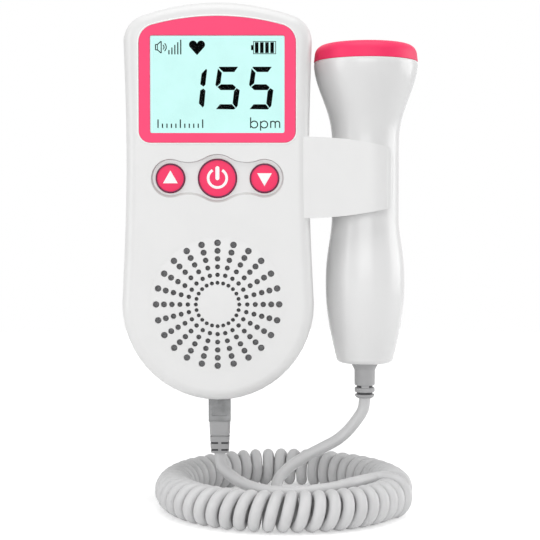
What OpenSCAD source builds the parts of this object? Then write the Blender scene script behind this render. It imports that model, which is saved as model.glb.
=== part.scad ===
// Hand-held fetal heart monitor with its probe and curly lead.
// The front faces -Y and +Z is up. The origin lies on the flat back, at half the case's height.

/* [Case] */
// Height of the case
case_height = 134; // [128:1:142]
// Width of the case across its round lower end
case_width = 65; // [64:0.2:69]
// Depth of the case from front to back
case_depth = 36; // [34:1:40]
// How far the sides draw in at the waist
waist_draw = 1.45; // [0:0.05:1.6]
// How much narrower each side is at the top
top_draw = 0.85; // [0:0.05:1]
// Radius of the two upper corners
corner_r = 9; // [8:0.5:11]
// Radius of the arched top
crown_r = 76; // [68:1:100]
// Rounding of the front and back edges
edge_r = 4; // [3:0.25:4.5]
// Wall of both shells
wall = 2; // [1.8:0.1:2.3]
// Height of the lip that locates the two shells
lip_height = 2.5; // [1.5:0.25:3]

/* [Display] */
// Width of the display surround
bezel_width = 52.4; // [50.5:0.1:52.8]
// Height of the display surround at its middle
bezel_height = 42; // [41:0.1:42.6]
// Distance from the top of the case down to the surround
bezel_drop = 5.1; // [4.8:0.1:6]
// Radius of the arched top of the surround
bezel_crown_r = 83; // [75:1:100]
// Radius of the surround's upper corners
bezel_high_r = 6; // [4.5:0.1:6.5]
// Radius of the surround's lower corners
bezel_low_r = 3.8; // [2.5:0.1:5]
// Thickness of the surround
bezel_thick = 1.3; // [1.1:0.1:1.4]
// Width of the display window
window_width = 44.8; // [42:0.2:45.6]
// Height of the display window
window_height = 32.3; // [30:0.1:33]
// Width of the surround below the window
window_rise = 3.3; // [2.8:0.1:4]
// Thickness of the window
window_thick = 1.1; // [0.9:0.1:1.2]
// Thickness of the display glass
glass_thick = 2.2; // [1.8:0.1:2.4]
// Thickness of the light guide
light_thick = 2; // [1.6:0.1:2.2]

/* [Buttons] */
// Distance from the surround down to the middle of the buttons
button_drop = 11.9; // [11.5:0.1:12.8]
// Radius of the power button
power_r = 6.35; // [5.8:0.05:6.6]
// Radius of the up and down buttons
arrow_r = 4.75; // [4.2:0.05:5]
// Distance from the power button to each arrow button
arrow_spacing = 15.75; // [14.8:0.05:16]
// Depth of the recess round the buttons
button_recess = 0.8; // [0.5:0.1:1]
// Width of the recess beyond the power button
power_margin = 1.8; // [1.4:0.1:2]
// Width of the recess beyond the arrow buttons
arrow_margin = 1.75; // [1.3:0.05:1.9]
// Travel of a button
button_travel = 0.8; // [0.5:0.1:0.9]

/* [Speaker] */
// Height of the speaker's centre above the middle of the round lower end
speaker_rise = 0.2; // [0:0.1:1.5]
// Radius of the outer ring of holes
grille_ring_r = 20.7; // [19:0.1:20.8]
// Radius of the holes in the outer ring
grille_hole_r = 1.075; // [0.8:0.025:1.1]
// Number of rows of holes round the grille
grille_rows = 24; // [18:1:26]
// Number of holes in each row
grille_rings = 6; // [3:1:6]
// Distance from one ring of holes to the next
grille_step = 2.68; // [2.4:0.02:2.8]
// Thickness of the grille
grille_thick = 1.2; // [1:0.1:1.4]
// Depth of the sunk face of the grille
grille_dish = 0.3; // [0.2:0.1:0.5]
// Radius of the speaker's magnet
magnet_r = 11; // [8:0.5:12]
// Depth of the speaker behind its gasket
speaker_depth = 10.5; // [9:0.5:12]

/* [Battery] */
// Radius of a cell
cell_r = 7.1; // [6.9:0.05:7.2]
// Length of a cell with its button
cell_length = 50.5; // [49.5:0.1:50.6]
// Distance from the top of the case down to the battery tray
tray_drop = 10; // [9.6:0.1:10.2]
// Thickness of the battery door
door_thick = 2.2; // [2:0.1:2.4]
// Radius of the door's hinge pins
door_pin_r = 0.8; // [0.6:0.05:0.85]

/* [Fasteners] */
// Radius of a case screw's shank
screw_r = 1.2; // [1:0.05:1.3]
// Radius of a case screw's head
screw_head_r = 2.2; // [1.9:0.05:2.3]
// Depth of the wells that the case screws sit in
screw_well = 8; // [5:0.5:9]
// Radius of a board screw's shank
board_screw_r = 0.8; // [0.6:0.05:0.85]

/* [Probe holder] */
// Distance from the case's middle to the probe's axis
probe_x = 50.85; // [49:0.05:54]
// Height of the holder where it leaves the case
clip_root_height = 27.4; // [25:0.1:28]
// Height of the holder at its tips
clip_tip_height = 21.3; // [18:0.1:23]
// Height of the holder's middle above the case's middle
clip_z = 8.3; // [7:0.1:9]
// Width of the holder across its two jaws
clip_width = 35; // [33:0.5:35.5]
// How far the jaws reach past the probe's axis
clip_reach = 7.9; // [6:0.1:9]
// Radius of the holder's saddle
saddle_r = 12; // [11.9:0.05:12.4]

/* [Probe] */
// Radius of the probe's neck
neck_r = 11.65; // [11:0.05:11.7]
// Radius of the probe's grip
grip_r = 13.7; // [12.5:0.1:15]
// Radius of the probe's head
head_r = 18; // [16.5:0.1:19]
// Radius of the foot of the probe
foot_r = 9.9; // [9:0.1:11]
// Height of the middle of the neck above the case's middle
neck_z = 8; // [7:0.5:9]
// Length of the straight neck
neck_length = 26; // [24:0.5:28]
// Distance from the neck down to the widest part of the grip
grip_drop = 20; // [17:0.5:23]
// Distance from the neck down to the probe's lower end
foot_drop = 50.8; // [47:0.1:54]
// Distance from the neck up to the seam of the pink face
seam_rise = 27.5; // [24:0.5:31]
// Height of the pink face above its seam
cap_height = 7.2; // [6.8:0.1:8]
// Rounding of the edge of the pink face
cap_edge_r = 3.6; // [3:0.1:4.5]
// Wall of the probe
probe_wall = 1.8; // [1.5:0.1:2]
// Radius of the two crystals together
crystal_r = 12; // [9:0.5:12.4]

/* [Lead] */
// Radius of the lead
lead_r = 2; // [1.5:0.05:2.1]
// Radius of the straight part of the probe's strain relief
relief_r = 3.5; // [2.6:0.1:3.9]
// Length of the strain relief below the probe
relief_length = 12.5; // [10:0.5:14]
// Width of the plug
plug_width = 7.66; // [7:0.02:7.8]
// Thickness of the plug
plug_thick = 6.6; // [6:0.1:6.8]
// How far the plug stands in its jack
plug_depth = 7; // [6:0.5:7.5]
// How far the plug stands out of the case
plug_out = 9.3; // [8:0.1:10]
// Length of the boot behind the plug
boot_length = 11.2; // [9:0.1:12]
// Radius of the ring that the curly lead is laid in
ring_r = 38.4; // [37.5:0.1:39.5]
// Outer radius of the curly lead's helix
curl_r = 6.8; // [6:0.1:6.9]

/* [Fits] */
// Gap round a piece that is set into another
seat_gap = 0.1; // [0.05:0.01:0.15]
// Gap round a piece that moves in an opening
moving_gap = 0.3; // [0.2:0.05:0.4]
// Gap between a pin and its bore
pin_gap = 0.05; // [0.02:0.01:0.1]

/* [Hidden] */
$fn = 64;
eps = 0.01;

white = "#f4f4f2";
pink = "#f24870";
grey = "#a8a8aa";

// Planes of the case, from the front to the back
front_y = -case_depth;
split_y = -case_depth / 2;
inner_y = front_y + wall;

// Outline of the case: a round lower end, sides with a waist, and an arched top
half_width = case_width / 2;
case_top_z = case_height / 2;
case_foot_z = -case_height / 2;
low_z = case_foot_z + half_width;
crown_z = case_top_z - crown_r;
corner_x = half_width - top_draw - corner_r;
corner_z = crown_z + sqrt(pow(crown_r - corner_r, 2) - pow(corner_x, 2));
corner_angle = atan2(corner_z - crown_z, corner_x);

function side_x(u) = half_width - waist_draw * sin(180 * u) - top_draw * u * u;
function side_z(u) = low_z + u * (corner_z - low_z);
function side_at(z) = side_x((z - low_z) / (corner_z - low_z));
function arc(x, z, r, from, to, n) = [for (i = [0:n - 1])
    let (a = from + (to - from) * i / n) [x + r * cos(a), z + r * sin(a), cos(a), sin(a)]];

// Each point of the outline with the direction that it faces
foot_steps = 26;
case_rim = concat(
    [for (i = [0:9]) [side_x(i / 10), side_z(i / 10), 1, 0]],
    arc(corner_x, corner_z, corner_r, 0, corner_angle, 6),
    arc(0, crown_z, crown_r, corner_angle, 180 - corner_angle, 10),
    arc(-corner_x, corner_z, corner_r, 180 - corner_angle, 180, 6),
    [for (i = [10:-1:1]) [-side_x(i / 10), side_z(i / 10), -1, 0]],
    arc(0, low_z, half_width, 180, 360, foot_steps));

// The flat face inside the outline, as level strips from each point to the one across from it
rim_size = len(case_rim);
function across(i) = (2 * rim_size - foot_steps - i) % rim_size;
rim_face = [for (i = [-foot_steps / 2:(rim_size - foot_steps) / 2 - 1])
    let (a = (i + rim_size) % rim_size, b = (a + 1) % rim_size)
        each concat(a == across(a) ? [] : [[a, b, across(a)]],
            b == across(b) ? [] : [[b, across(b), across(a)]])];

// Display stack, from the front to the back
bezel_seat_y = front_y + bezel_thick - 0.3;
bezel_high = case_top_z - bezel_drop;
bezel_low = bezel_high - bezel_height;
window_low = bezel_low + window_rise;
window_ledge = 0.5;
glass_y = inner_y + 0.3;
light_y = glass_y + glass_thick;
holder_ledge_y = light_y + light_thick;
board_y = front_y + 9;
board_thick = 1.6;
board_half_width = 27;
board_low = bezel_low - button_drop - 15;
board_high = case_top_z - 13.5;
window_mid_z = window_low + window_height / 2;
glass_width = window_width - 1;
glass_height = window_height - 0.9;

// Buttons: [x, radius]
buttons = [[0, power_r], [-arrow_spacing, arrow_r], [arrow_spacing, arrow_r]];
button_z = bezel_low - button_drop;
recess_y = front_y + button_recess;
waist_r = 11;
flange_y = inner_y + moving_gap;
flange_thick = 1;
switch_size = 6.2;
switch_high = 3.2;
plunger_r = 1.6;
plunger_y = board_y - switch_high - 1.2;
plunger_length = 2.9;

// Speaker
speaker_z = low_z + speaker_rise;
grille_r = grille_ring_r + grille_hole_r + 1.2;
speaker_hole_r = grille_r - 1;
gasket_thick = 1;
speaker_r = speaker_hole_r + 0.2;
collar_r = speaker_r + moving_gap + 1.2;

// Battery tray, behind the display
spring_length = 4.5;
contact_thick = 0.5;
cell_x = cell_r + 0.3;
tray_half_width = 2 * cell_r + 0.7;
tray_length = cell_length + spring_length + 2 * contact_thick + 0.2;
tray_high = case_top_z - tray_drop;
tray_low = tray_high - tray_length;
door_gap = moving_gap;
door_inset = 0.2;
door_seat = door_inset + door_thick + door_gap;
cell_y = -door_seat - 0.4 - cell_r;
tray_floor_y = cell_y - cell_r - moving_gap;
tray_wall = 1.5;
door_half_width = tray_half_width + 2.3;
door_low = tray_low - 1;
hinge_r = door_thick / 2;
hinge_y = -door_inset - hinge_r;
hinge_z = tray_high + 1.6;
pin_length = 1.5;

// Screws: [x, z]
case_screw_places = [[25.5, case_top_z - 9.8], [half_width - 8.4, board_low - 3.4],
    [15, case_foot_z + 10]];
board_screw_places = [[25.2, board_high - 7], [25.2, board_low + 4]];
boss_r = screw_r + 1.6;
well_r = screw_head_r + 0.2;
screw_head_high = 1.8;
screw_length = -split_y - screw_well + 4;
standoff_r = board_screw_r + 0.6;

// Probe holder
tongue_height = 16;
tongue_half_depth = 5.2;
flange_overhang = 1.8;

// Probe, measured along its own axis
neck_low = neck_z - neck_length / 2;
neck_high = neck_z + neck_length / 2;
foot_z = neck_low - foot_drop;
foot_edge = 2;
seam_z = neck_high + seam_rise;
cap_top_z = seam_z + cap_height;
seam_gap = 0.2;
spigot_r = head_r - probe_wall - 0.1;
spigot_length = 4;
crystal_z = cap_top_z - 2.8;
crystal_thick = 1.5;
backing_thick = 5.5;
probe_board_high = crystal_z - crystal_thick - backing_thick;
relief_hole_r = relief_r + seat_gap;
relief_end_z = foot_z - relief_length;

// Plug and jack
plug_low_z = case_foot_z - plug_out;
plug_high_z = case_foot_z + plug_depth;
boot_low_z = plug_low_z - boot_length;
jack_low_z = case_foot_z + wall + 0.8;
jack_high_z = plug_high_z + 2.5;
jack_half_width = plug_width / 2 + 2.3;
latch_y = split_y + plug_thick / 2 + 0.3;
latch_z = plug_high_z - 1.2;
latch_thick = 0.8;
latch_width = 3;
latch_angle = 6;
latch_room_y = latch_y + 2.3;

// Ring of curly lead on the surface below the monitor
ring_place = [22.5, -17, -99.9];
ring_start = 8;
ring_sweep = 337;

// Route of the lead from the boot to the ring, and from the strain relief to the ring
main_route = [[0, split_y, boot_low_z], [0, split_y, boot_low_z - 0.8], [0, split_y, boot_low_z - 1.6],
    [0.9, -19.7, -91.6], [4, -24.6, -94],
    [10, -33, -96.2], [18, -40, -96], [28, -43.5, -94.8], [40, -42.5, -93.9], [50, -36, -92.2],
    [58, -29, -90.6], [61.6, -23.6, -92], [62.4, -20.8, -96], [61, -20.6, -99]];
probe_route = [[probe_x, split_y, relief_end_z], [probe_x, split_y, relief_end_z - 0.8],
    [probe_x, split_y, relief_end_z - 1.6], [50.2, -18, -73], [47.5, -18, -77.5],
    [41, -18, -83.5], [33, -18.2, -87.8], [26, -20, -91.8], [21.5, -23, -96.5],
    [21, -27, -101], [24.5, -31, -104], [31, -33.5, -104.5], [39, -31.5, -104.5], [45, -25.5, -104.5],
    [50, -20, -104.4], [55, -16.6, -102.6], [59.5, -15.2, -100.2]];

// A closed solid through rings of points at depth y, each drawn in from the case's outline
module case_loft(levels) {
    n = rim_size;
    points = [for (l = levels) for (p = case_rim) [p[0] - l[1] * p[2], l[0], p[1] - l[1] * p[3]]];
    last = (len(levels) - 1) * n;
    sides = [for (k = [0:len(levels) - 2]) for (i = [0:n - 1])
        let (a = k * n + i, b = k * n + (i + 1) % n) each [[a, b, b + n], [a, b + n, a + n]]];
    front = [for (f = rim_face) [f[2], f[1], f[0]]];
    back = [for (f = rim_face) [last + f[0], last + f[1], last + f[2]]];
    polyhedron(points = points, faces = concat(front, sides, back), convexity = 4);
}

// Depths and insets of a rounded edge that ends at plane y, on the side given by way
function edge_levels(y, way, r, inset, n) = [for (i = [0:n])
    let (a = 90 * i / n) [y + way * r * (1 - cos(a)), inset + r * (1 - sin(a))]];
function backward(list) = [for (i = [len(list) - 1:-1:0]) list[i]];

module front_block(inset, past, n) {
    rounded = edge_levels(front_y + inset, 1, edge_r - inset, inset, n);
    case_loft(concat(rounded, [[split_y + past, inset]]));
}

module rear_block(inset, past, n) {
    rounded = backward(edge_levels(-inset, -1, edge_r - inset, inset, n));
    case_loft(concat([[split_y - past, inset]], rounded));
}

module at_both_sides(places) {
    for (p = places)
        for (way = [-1, 1])
            translate([way * p[0], 0, p[1]]) children();
}

// A cylinder from depth y0 to depth y1
module post(r, y0, y1) {
    translate([0, y1, 0]) rotate([90, 0, 0]) cylinder(r = r, h = y1 - y0);
}

// A box that is centred on X, from y0 to y1 and from z0 to z1
module slab(half, y0, y1, z0, z1) {
    translate([-half, y0, z0]) cube([2 * half, y1 - y0, z1 - z0]);
}

// A flat outline in X and Z, from depth y0 to depth y1
module plate(y0, y1) {
    translate([0, y1, 0]) rotate([90, 0, 0]) linear_extrude(y1 - y0) children();
}

module rounded_rectangle(x, z, r) {
    square([x, z - 2 * r], center = true);
    square([x - 2 * r, z], center = true);
    for (i = [-1, 1])
        for (k = [-1, 1])
            translate([i * (x / 2 - r), k * (z / 2 - r)]) circle(r);
}

// Outline of the display surround, drawn out by grow
module bezel_outline(grow) {
    low_r = bezel_low_r + grow;
    high_r = bezel_high_r + grow;
    top_r = bezel_crown_r + grow;
    top_z = bezel_high - bezel_crown_r;
    low_x = bezel_width / 2 + grow - low_r;
    high_x = bezel_width / 2 + grow - high_r;
    low = bezel_low - grow + low_r;
    high = top_z + sqrt(pow(top_r - high_r, 2) - pow(high_x, 2));
    turn = atan2(high - top_z, high_x);
    rim = concat(
        arc(low_x, low, low_r, -90, 0, 8), arc(high_x, high, high_r, 0, turn, 8),
        arc(0, top_z, top_r, turn, 180 - turn, 14), arc(-high_x, high, high_r, 180 - turn, 180, 8),
        arc(-low_x, low, low_r, 180, 270, 8), [[-low_x, low - low_r]]);
    polygon([for (p = rim) [p[0], p[1]]]);
}

// The recess round the three buttons, with soft waists between its lobes
module button_outline() {
    offset(r = -waist_r, $fn = 96) offset(r = waist_r, $fn = 48)
        for (b = buttons)
            translate([b[0], button_z]) circle(b[1] + (b[0] == 0 ? power_margin : arrow_margin), $fn = 48);
}

module jack_space(gap) {
    half = plug_width / 2 + gap;
    slab(half, split_y - plug_thick / 2 - gap, split_y + plug_thick / 2 + gap,
        case_foot_z - 2, plug_high_z + moving_gap);
    slab(latch_width / 2 + moving_gap, split_y, latch_room_y, case_foot_z - 2, plug_high_z + moving_gap);
}

// Slot in the case's side that the holder's tongue passes through
module tongue_space() {
    x0 = side_at(clip_z) - wall - 2;
    translate([x0, split_y - tongue_half_depth - seat_gap, clip_z - tongue_height / 2 - seat_gap])
        cube([8, 2 * (tongue_half_depth + seat_gap), tongue_height + 2 * seat_gap]);
}

module front_shell() {
    color(white) difference() {
        union() {
            difference() {
                front_block(0, 0, 5);
                front_block(wall, 1, 3);
            }
            at_both_sides(case_screw_places) post(boss_r, inner_y - 0.5, split_y);
            at_both_sides(board_screw_places) post(standoff_r, inner_y - 0.5, board_y);
            translate([0, 0, speaker_z]) post(collar_r, inner_y - 0.5, inner_y + 5);
            slab(5, inner_y - 0.5, split_y - 5.6, jack_low_z + 2, jack_high_z - 1);
        }
        plate(front_y - 1, bezel_seat_y) bezel_outline(seat_gap);
        slab(window_width / 2 - window_ledge, front_y, inner_y + 1, window_low + window_ledge,
            window_low + window_height - window_ledge);
        plate(front_y - 1, recess_y) button_outline();
        for (b = buttons)
            translate([b[0], 0, button_z]) post(b[1] + moving_gap, front_y - 1, inner_y + 1);
        translate([0, 0, speaker_z]) {
            post(grille_r + seat_gap, front_y - 1, front_y + grille_thick);
            post(speaker_hole_r, front_y - 1, inner_y + 1);
            post(speaker_r + moving_gap, inner_y, inner_y + 6);
        }
        at_both_sides(case_screw_places) post(screw_r + pin_gap, split_y - 6, split_y + 1);
        at_both_sides(board_screw_places) post(board_screw_r + pin_gap, board_y - 4, board_y + 1);
        jack_space(0.4);
        tongue_space();
    }
}

// The lip that stands into the front shell, open where a boss, the jack or the holder needs room
module shell_lip() {
    inset = wall + seat_gap;
    difference() {
        case_loft([[split_y - lip_height, inset], [split_y, inset], [split_y, wall / 2],
            [split_y + 2, wall / 2]]);
        case_loft([[split_y - lip_height - 1, inset + 1], [split_y + 3, inset + 1]]);
        at_both_sides([case_screw_places[0], case_screw_places[2]])
            post(boss_r + moving_gap, split_y - 5, split_y + 4);
        slab(jack_half_width + 1, split_y - 5, split_y + 4, case_foot_z, jack_high_z);
        translate([20, split_y - 5, clip_z - tongue_height / 2 - flange_overhang - 0.5])
            cube([20, 9, tongue_height + 2 * flange_overhang + 1]);
    }
}

module rear_shell() {
    tray_y = tray_floor_y - tray_wall;
    pocket_half = door_half_width + door_gap;
    color(white) difference() {
        union() {
            difference() {
                rear_block(0, 0, 5);
                rear_block(wall, 1, 3);
            }
            shell_lip();
            at_both_sides(case_screw_places) post(well_r + 1, split_y, -wall + 0.5);
            slab(tray_half_width + tray_wall, tray_y, -wall + 0.5, tray_low - tray_wall,
                tray_high + tray_wall);
            slab(pocket_half + 1.7, -door_seat - 1.5, -wall + 0.5, door_low - door_gap - 1.7,
                hinge_z + hinge_r + door_gap + 1.4);
            slab(5, split_y + 6.2, -wall + 0.5, jack_low_z + 2, jack_high_z - 1);
        }
        slab(tray_half_width, tray_floor_y, 1, tray_low, tray_high);
        slab(pocket_half, -door_seat, 1, door_low - door_gap, hinge_z);
        translate([-pocket_half, hinge_y, hinge_z]) rotate([0, 90, 0])
            cylinder(r = hinge_r + door_gap, h = 2 * pocket_half);
        slab(pocket_half, hinge_y, 1, hinge_z - 1, hinge_z + hinge_r + door_gap);
        translate([-door_half_width - pin_length - 0.2, hinge_y, hinge_z]) rotate([0, 90, 0])
            cylinder(r = door_pin_r + pin_gap, h = 2 * (door_half_width + pin_length + 0.2));
        at_both_sides(case_screw_places) {
            post(well_r, -screw_well, 1);
            post(screw_r + 0.3, split_y - 1, 1);
        }
        jack_space(0.4);
        tongue_space();
    }
}

// Plan of the holder: a block with round jaws, open towards +X
module clip_plan() {
    tip_r = (clip_width / 2 - saddle_r) / 3;
    jaw_end = clip_reach - tip_r;
    tip_out = sqrt(pow(clip_width / 2, 2) - pow(jaw_end, 2));
    translate([probe_x, split_y]) difference() {
        union() {
            intersection() {
                union() {
                    translate([-probe_x + 24, -clip_width / 2]) square([probe_x - 24, clip_width]);
                    circle(clip_width / 2, $fn = 96);
                }
                translate([-40, -30]) square([40 + jaw_end, 60]);
            }
            for (way = [-1, 1])
                translate([jaw_end, way * (saddle_r + tip_out) / 2]) circle((tip_out - saddle_r) / 2);
        }
        circle(saddle_r, $fn = 96);
        translate([0, -saddle_r]) square([20, 2 * saddle_r]);
    }
}

// Front view of the holder: it tapers to a tip with round corners
module clip_front() {
    tip_x = probe_x + clip_reach + 1;
    r = 3.2;
    bow = 0.65;
    edge = [for (i = [0:8]) [30 + (tip_x - r - 30) * i / 8,
        (clip_root_height + (clip_tip_height - clip_root_height) * i / 8) / 2 + bow * sin(22.5 * i)]];
    rim = concat(
        [[20, clip_z + clip_root_height / 2], [20, clip_z - clip_root_height / 2]],
        [for (p = edge) [p[0], clip_z - p[1]]],
        [for (p = arc(tip_x - r, clip_z - clip_tip_height / 2 + r, r, -90, 0, 6))
            if (p[0] > tip_x - r + eps) [p[0], p[1]]],
        [for (p = arc(tip_x - r, clip_z + clip_tip_height / 2 - r, r, 0, 90, 6)) [p[0], p[1]]],
        [for (i = [8:-1:0]) [edge[i][0], clip_z + edge[i][1]]]);
    polygon(rim);
}

module probe_clip() {
    side = side_at(clip_z);
    core = tongue_half_depth - 3;
    color(white) {
        difference() {
            intersection() {
                translate([0, 0, clip_z - 30]) linear_extrude(60) clip_plan();
                plate(front_y - 5, 5) clip_front();
            }
            case_loft(concat(edge_levels(front_y, 1, edge_r, 0, 5),
                backward(edge_levels(0, -1, edge_r, 0, 5))));
            for (way = [0, 1])
                translate([0, split_y, 0]) mirror([0, way, 0])
                    translate([side - 2, core, clip_z - clip_tip_height / 2 + wall])
                        cube([probe_x - saddle_r - wall - side + 2, clip_width / 2 - wall - core,
                            clip_tip_height - 2 * wall]);
        }
        translate([side - wall - seat_gap - eps, split_y - tongue_half_depth, clip_z - tongue_height / 2])
            cube([wall + seat_gap + 2, 2 * tongue_half_depth, tongue_height]);
        translate([side - wall - 1.5 - seat_gap, split_y - tongue_half_depth - flange_overhang,
            clip_z - tongue_height / 2 - flange_overhang])
            cube([1.5, 2 * (tongue_half_depth + flange_overhang), tongue_height + 2 * flange_overhang]);
    }
}

module bezel() {
    color(pink) difference() {
        plate(bezel_seat_y - bezel_thick, bezel_seat_y) bezel_outline(0);
        translate([0, 0, window_mid_z]) plate(front_y - 2, bezel_seat_y + 1)
            rounded_rectangle(window_width + 2 * seat_gap, window_height + 2 * seat_gap, 0.8);
    }
}

module display_window() {
    color("lightcyan", 0.5) translate([0, 0, window_mid_z])
        plate(bezel_seat_y - window_thick, bezel_seat_y)
            rounded_rectangle(window_width, window_height, 0.7);
}

module lcd_panel() {
    color("paleturquoise") slab(glass_width / 2, glass_y, light_y, window_mid_z - glass_height / 2,
        window_mid_z + glass_height / 2);
}

module lcd_backlight() {
    color("aliceblue") slab(glass_width / 2, light_y, holder_ledge_y, window_mid_z - glass_height / 2,
        window_mid_z + glass_height / 2);
}

module lcd_holder() {
    rim = 1.6;
    ledge = 1.5;
    color("ghostwhite") difference() {
        translate([0, 0, window_mid_z]) plate(glass_y + 0.5, board_y)
            rounded_rectangle(glass_width + 2 * rim, glass_height + 2 * rim, 3);
        slab(glass_width / 2 + seat_gap, glass_y, holder_ledge_y, window_mid_z - glass_height / 2 - seat_gap,
            window_mid_z + glass_height / 2 + seat_gap);
        slab(glass_width / 2 - ledge, glass_y, board_y + 1, window_mid_z - glass_height / 2 + ledge,
            window_mid_z + glass_height / 2 - ledge);
    }
}

module main_board() {
    color("seagreen") difference() {
        slab(board_half_width, board_y, board_y + board_thick, board_low, board_high);
        at_both_sides(board_screw_places) post(board_screw_r + 0.2, board_y - 1, board_y + board_thick + 1);
    }
}

// Parts on the back of the board: [x, distance below its top, width, height, depth]
chips = [[0, 25.5, 12, 12, 1.6], [-15, 43.5, 6, 5, 1.7], [14, 43.5, 5, 4, 1.5], [16, 17.5, 4, 8, 3.2]];
capacitors = [[-16, 23.5], [-16, 13.5], [6, 51.5]];

module board_chips() {
    back = board_y + board_thick;
    color("dimgray") {
        for (c = chips)
            translate([c[0] - c[2] / 2, back, board_high - c[1] - c[3] / 2]) cube([c[2], c[4], c[3]]);
        for (c = capacitors)
            translate([c[0], 0, board_high - c[1]]) post(2.5, back, back + 3.6);
    }
}

module board_screws() {
    back = board_y + board_thick;
    color("silver") at_both_sides(board_screw_places) {
        post(board_screw_r, board_y - 3.5, back + eps);
        difference() {
            post(board_screw_r * 2, back, back + 1.1);
            translate([-0.2, back + 0.6, -board_screw_r]) cube([0.4, 1, 2 * board_screw_r]);
            translate([-board_screw_r, back + 0.6, -0.2]) cube([2 * board_screw_r, 1, 0.4]);
        }
    }
}

module tact_switches() {
    color("#333333") for (b = buttons)
        translate([b[0], 0, button_z]) difference() {
            slab(switch_size / 2, board_y - switch_high, board_y, -switch_size / 2, switch_size / 2);
            post(plunger_r + pin_gap, board_y - switch_high - 1,
                plunger_y + plunger_length + button_travel + 0.3);
        }
}

module plunger(x) {
    color("black") translate([x, 0, button_z]) post(plunger_r, plunger_y, plunger_y + plunger_length);
}

module power_plunger() { plunger(buttons[0][0]); }
module up_plunger() { plunger(buttons[1][0]); }
module down_plunger() { plunger(buttons[2][0]); }

// A key cap with a soft edge, a flange behind the wall and a stem on the switch
module key_cap(x, r) {
    flange_back = flange_y + flange_thick;
    top = flange_back - front_y - 0.1;
    rim = [[0, flange_back - plunger_y], [2, flange_back - plunger_y], [2, 0], [r + 1, 0],
        [r + 1, flange_thick], [r, flange_thick], [r, top - 0.6]];
    edge = [for (i = [1:4]) [r - 0.5 + 0.5 * cos(22.5 * i), top - 0.6 + 0.45 * sin(22.5 * i)]];
    color(pink) translate([x, flange_back, button_z]) rotate([90, 0, 0])
        rotate_extrude() polygon(concat(rim, edge, [[r * 0.5, top - 0.05], [0, top]]));
}

module power_button() { key_cap(buttons[0][0], power_r); }
module up_button() { key_cap(buttons[1][0], arrow_r); }
module down_button() { key_cap(buttons[2][0], arrow_r); }

// Round perforated field: rows of holes that grow towards the rim, on a shallow sunk face
module speaker_grille() {
    color(white) translate([0, 0, speaker_z]) difference() {
        plate(front_y, front_y + grille_thick) difference() {
            circle(grille_r, $fn = 128);
            for (i = [0:grille_rows - 1])
                for (k = [0:grille_rings - 1])
                    rotate(360 * i / grille_rows) translate([grille_ring_r - k * grille_step, 0])
                        circle(grille_hole_r * (1 - 0.08 * k), $fn = 24);
        }
        post(grille_ring_r + grille_hole_r + 0.1, front_y - 1, front_y + grille_dish);
    }
}

module ring_plate(outer, inner, y0, y1) {
    difference() {
        post(outer, y0, y1);
        post(inner, y0 - 1, y1 + 1);
    }
}

module speaker_gasket() {
    color("#444444") translate([0, 0, speaker_z])
        ring_plate(speaker_r, speaker_hole_r - 1.5, inner_y, inner_y + gasket_thick);
}

// Pressed basket: a flange, a cone with windows and a seat for the magnet
module speaker_frame() {
    flange = inner_y + gasket_thick;
    deep = speaker_depth * 0.45;
    outer = speaker_hole_r - 2;
    rim = [[speaker_r, 0], [speaker_r, 1], [outer, 1], [magnet_r + 1, deep], [magnet_r + 1, deep + 1.2],
        [6, deep + 1.2], [6, deep], [magnet_r, deep], [outer - 1, 1], [outer - 1, 0]];
    color("silver") translate([0, flange, speaker_z]) rotate([-90, 0, 0]) difference() {
        rotate_extrude() polygon(rim);
        for (a = [45:90:315])
            rotate(a) translate([magnet_r + 3.5, 0, 1.2]) cylinder(r = 2.5, h = deep);
    }
}

module speaker_cone() {
    deep = speaker_depth * 0.45 - 0.2;
    outer = speaker_hole_r - 3.1;
    color("#222222") translate([0, inner_y + gasket_thick, speaker_z]) rotate([-90, 0, 0])
        rotate_extrude() polygon([[outer, 0.1], [outer, 0.8], [6, deep], [0, deep - 1.6],
            [0, deep - 2.2], [6, deep - 0.9]]);
}

module speaker_magnet() {
    seat = inner_y + gasket_thick + speaker_depth * 0.45 + 1.2;
    color("#555558") translate([0, 0, speaker_z]) {
        post(magnet_r, seat, seat + 4);
        post(magnet_r - 1, seat + 4 - eps, inner_y + gasket_thick + speaker_depth);
    }
}

// A cell along Z with its button at the end that way points to
module cell(x, low, way) {
    body = cell_length - 1.3;
    color("#303036") translate([x, cell_y, low + (way > 0 ? 0 : cell_length)])
        mirror([0, 0, way > 0 ? 0 : 1]) rotate_extrude()
            polygon([[0, 0], [cell_r - 0.4, 0], [cell_r, 0.4], [cell_r, body - 0.4], [cell_r - 0.4, body],
                [2.75, body], [2.75, cell_length], [0, cell_length]]);
}

module battery_1() { cell(-cell_x, tray_low + contact_thick + spring_length, 1); }
module battery_2() { cell(cell_x, tray_low + contact_thick + 0.1, -1); }

// Conical springs at the negative ends, as plain solids of their outer shape
module battery_springs() {
    color("silver") {
        translate([-cell_x, cell_y, tray_low + contact_thick])
            cylinder(r1 = 4.6, r2 = 3, h = spring_length, $fn = 64);
        translate([cell_x, cell_y, tray_high - contact_thick - spring_length])
            cylinder(r1 = 3, r2 = 4.6, h = spring_length - 0.1, $fn = 64);
    }
}

module battery_contacts() {
    half = tray_half_width - 0.3;
    y0 = tray_floor_y + 0.5;
    color("gold") {
        slab(half, y0, y0 + 12, tray_high - contact_thick, tray_high);
        for (way = [-1, 1])
            translate([way * cell_x - 6, y0, tray_low]) cube([12, 12, contact_thick]);
    }
}

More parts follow.
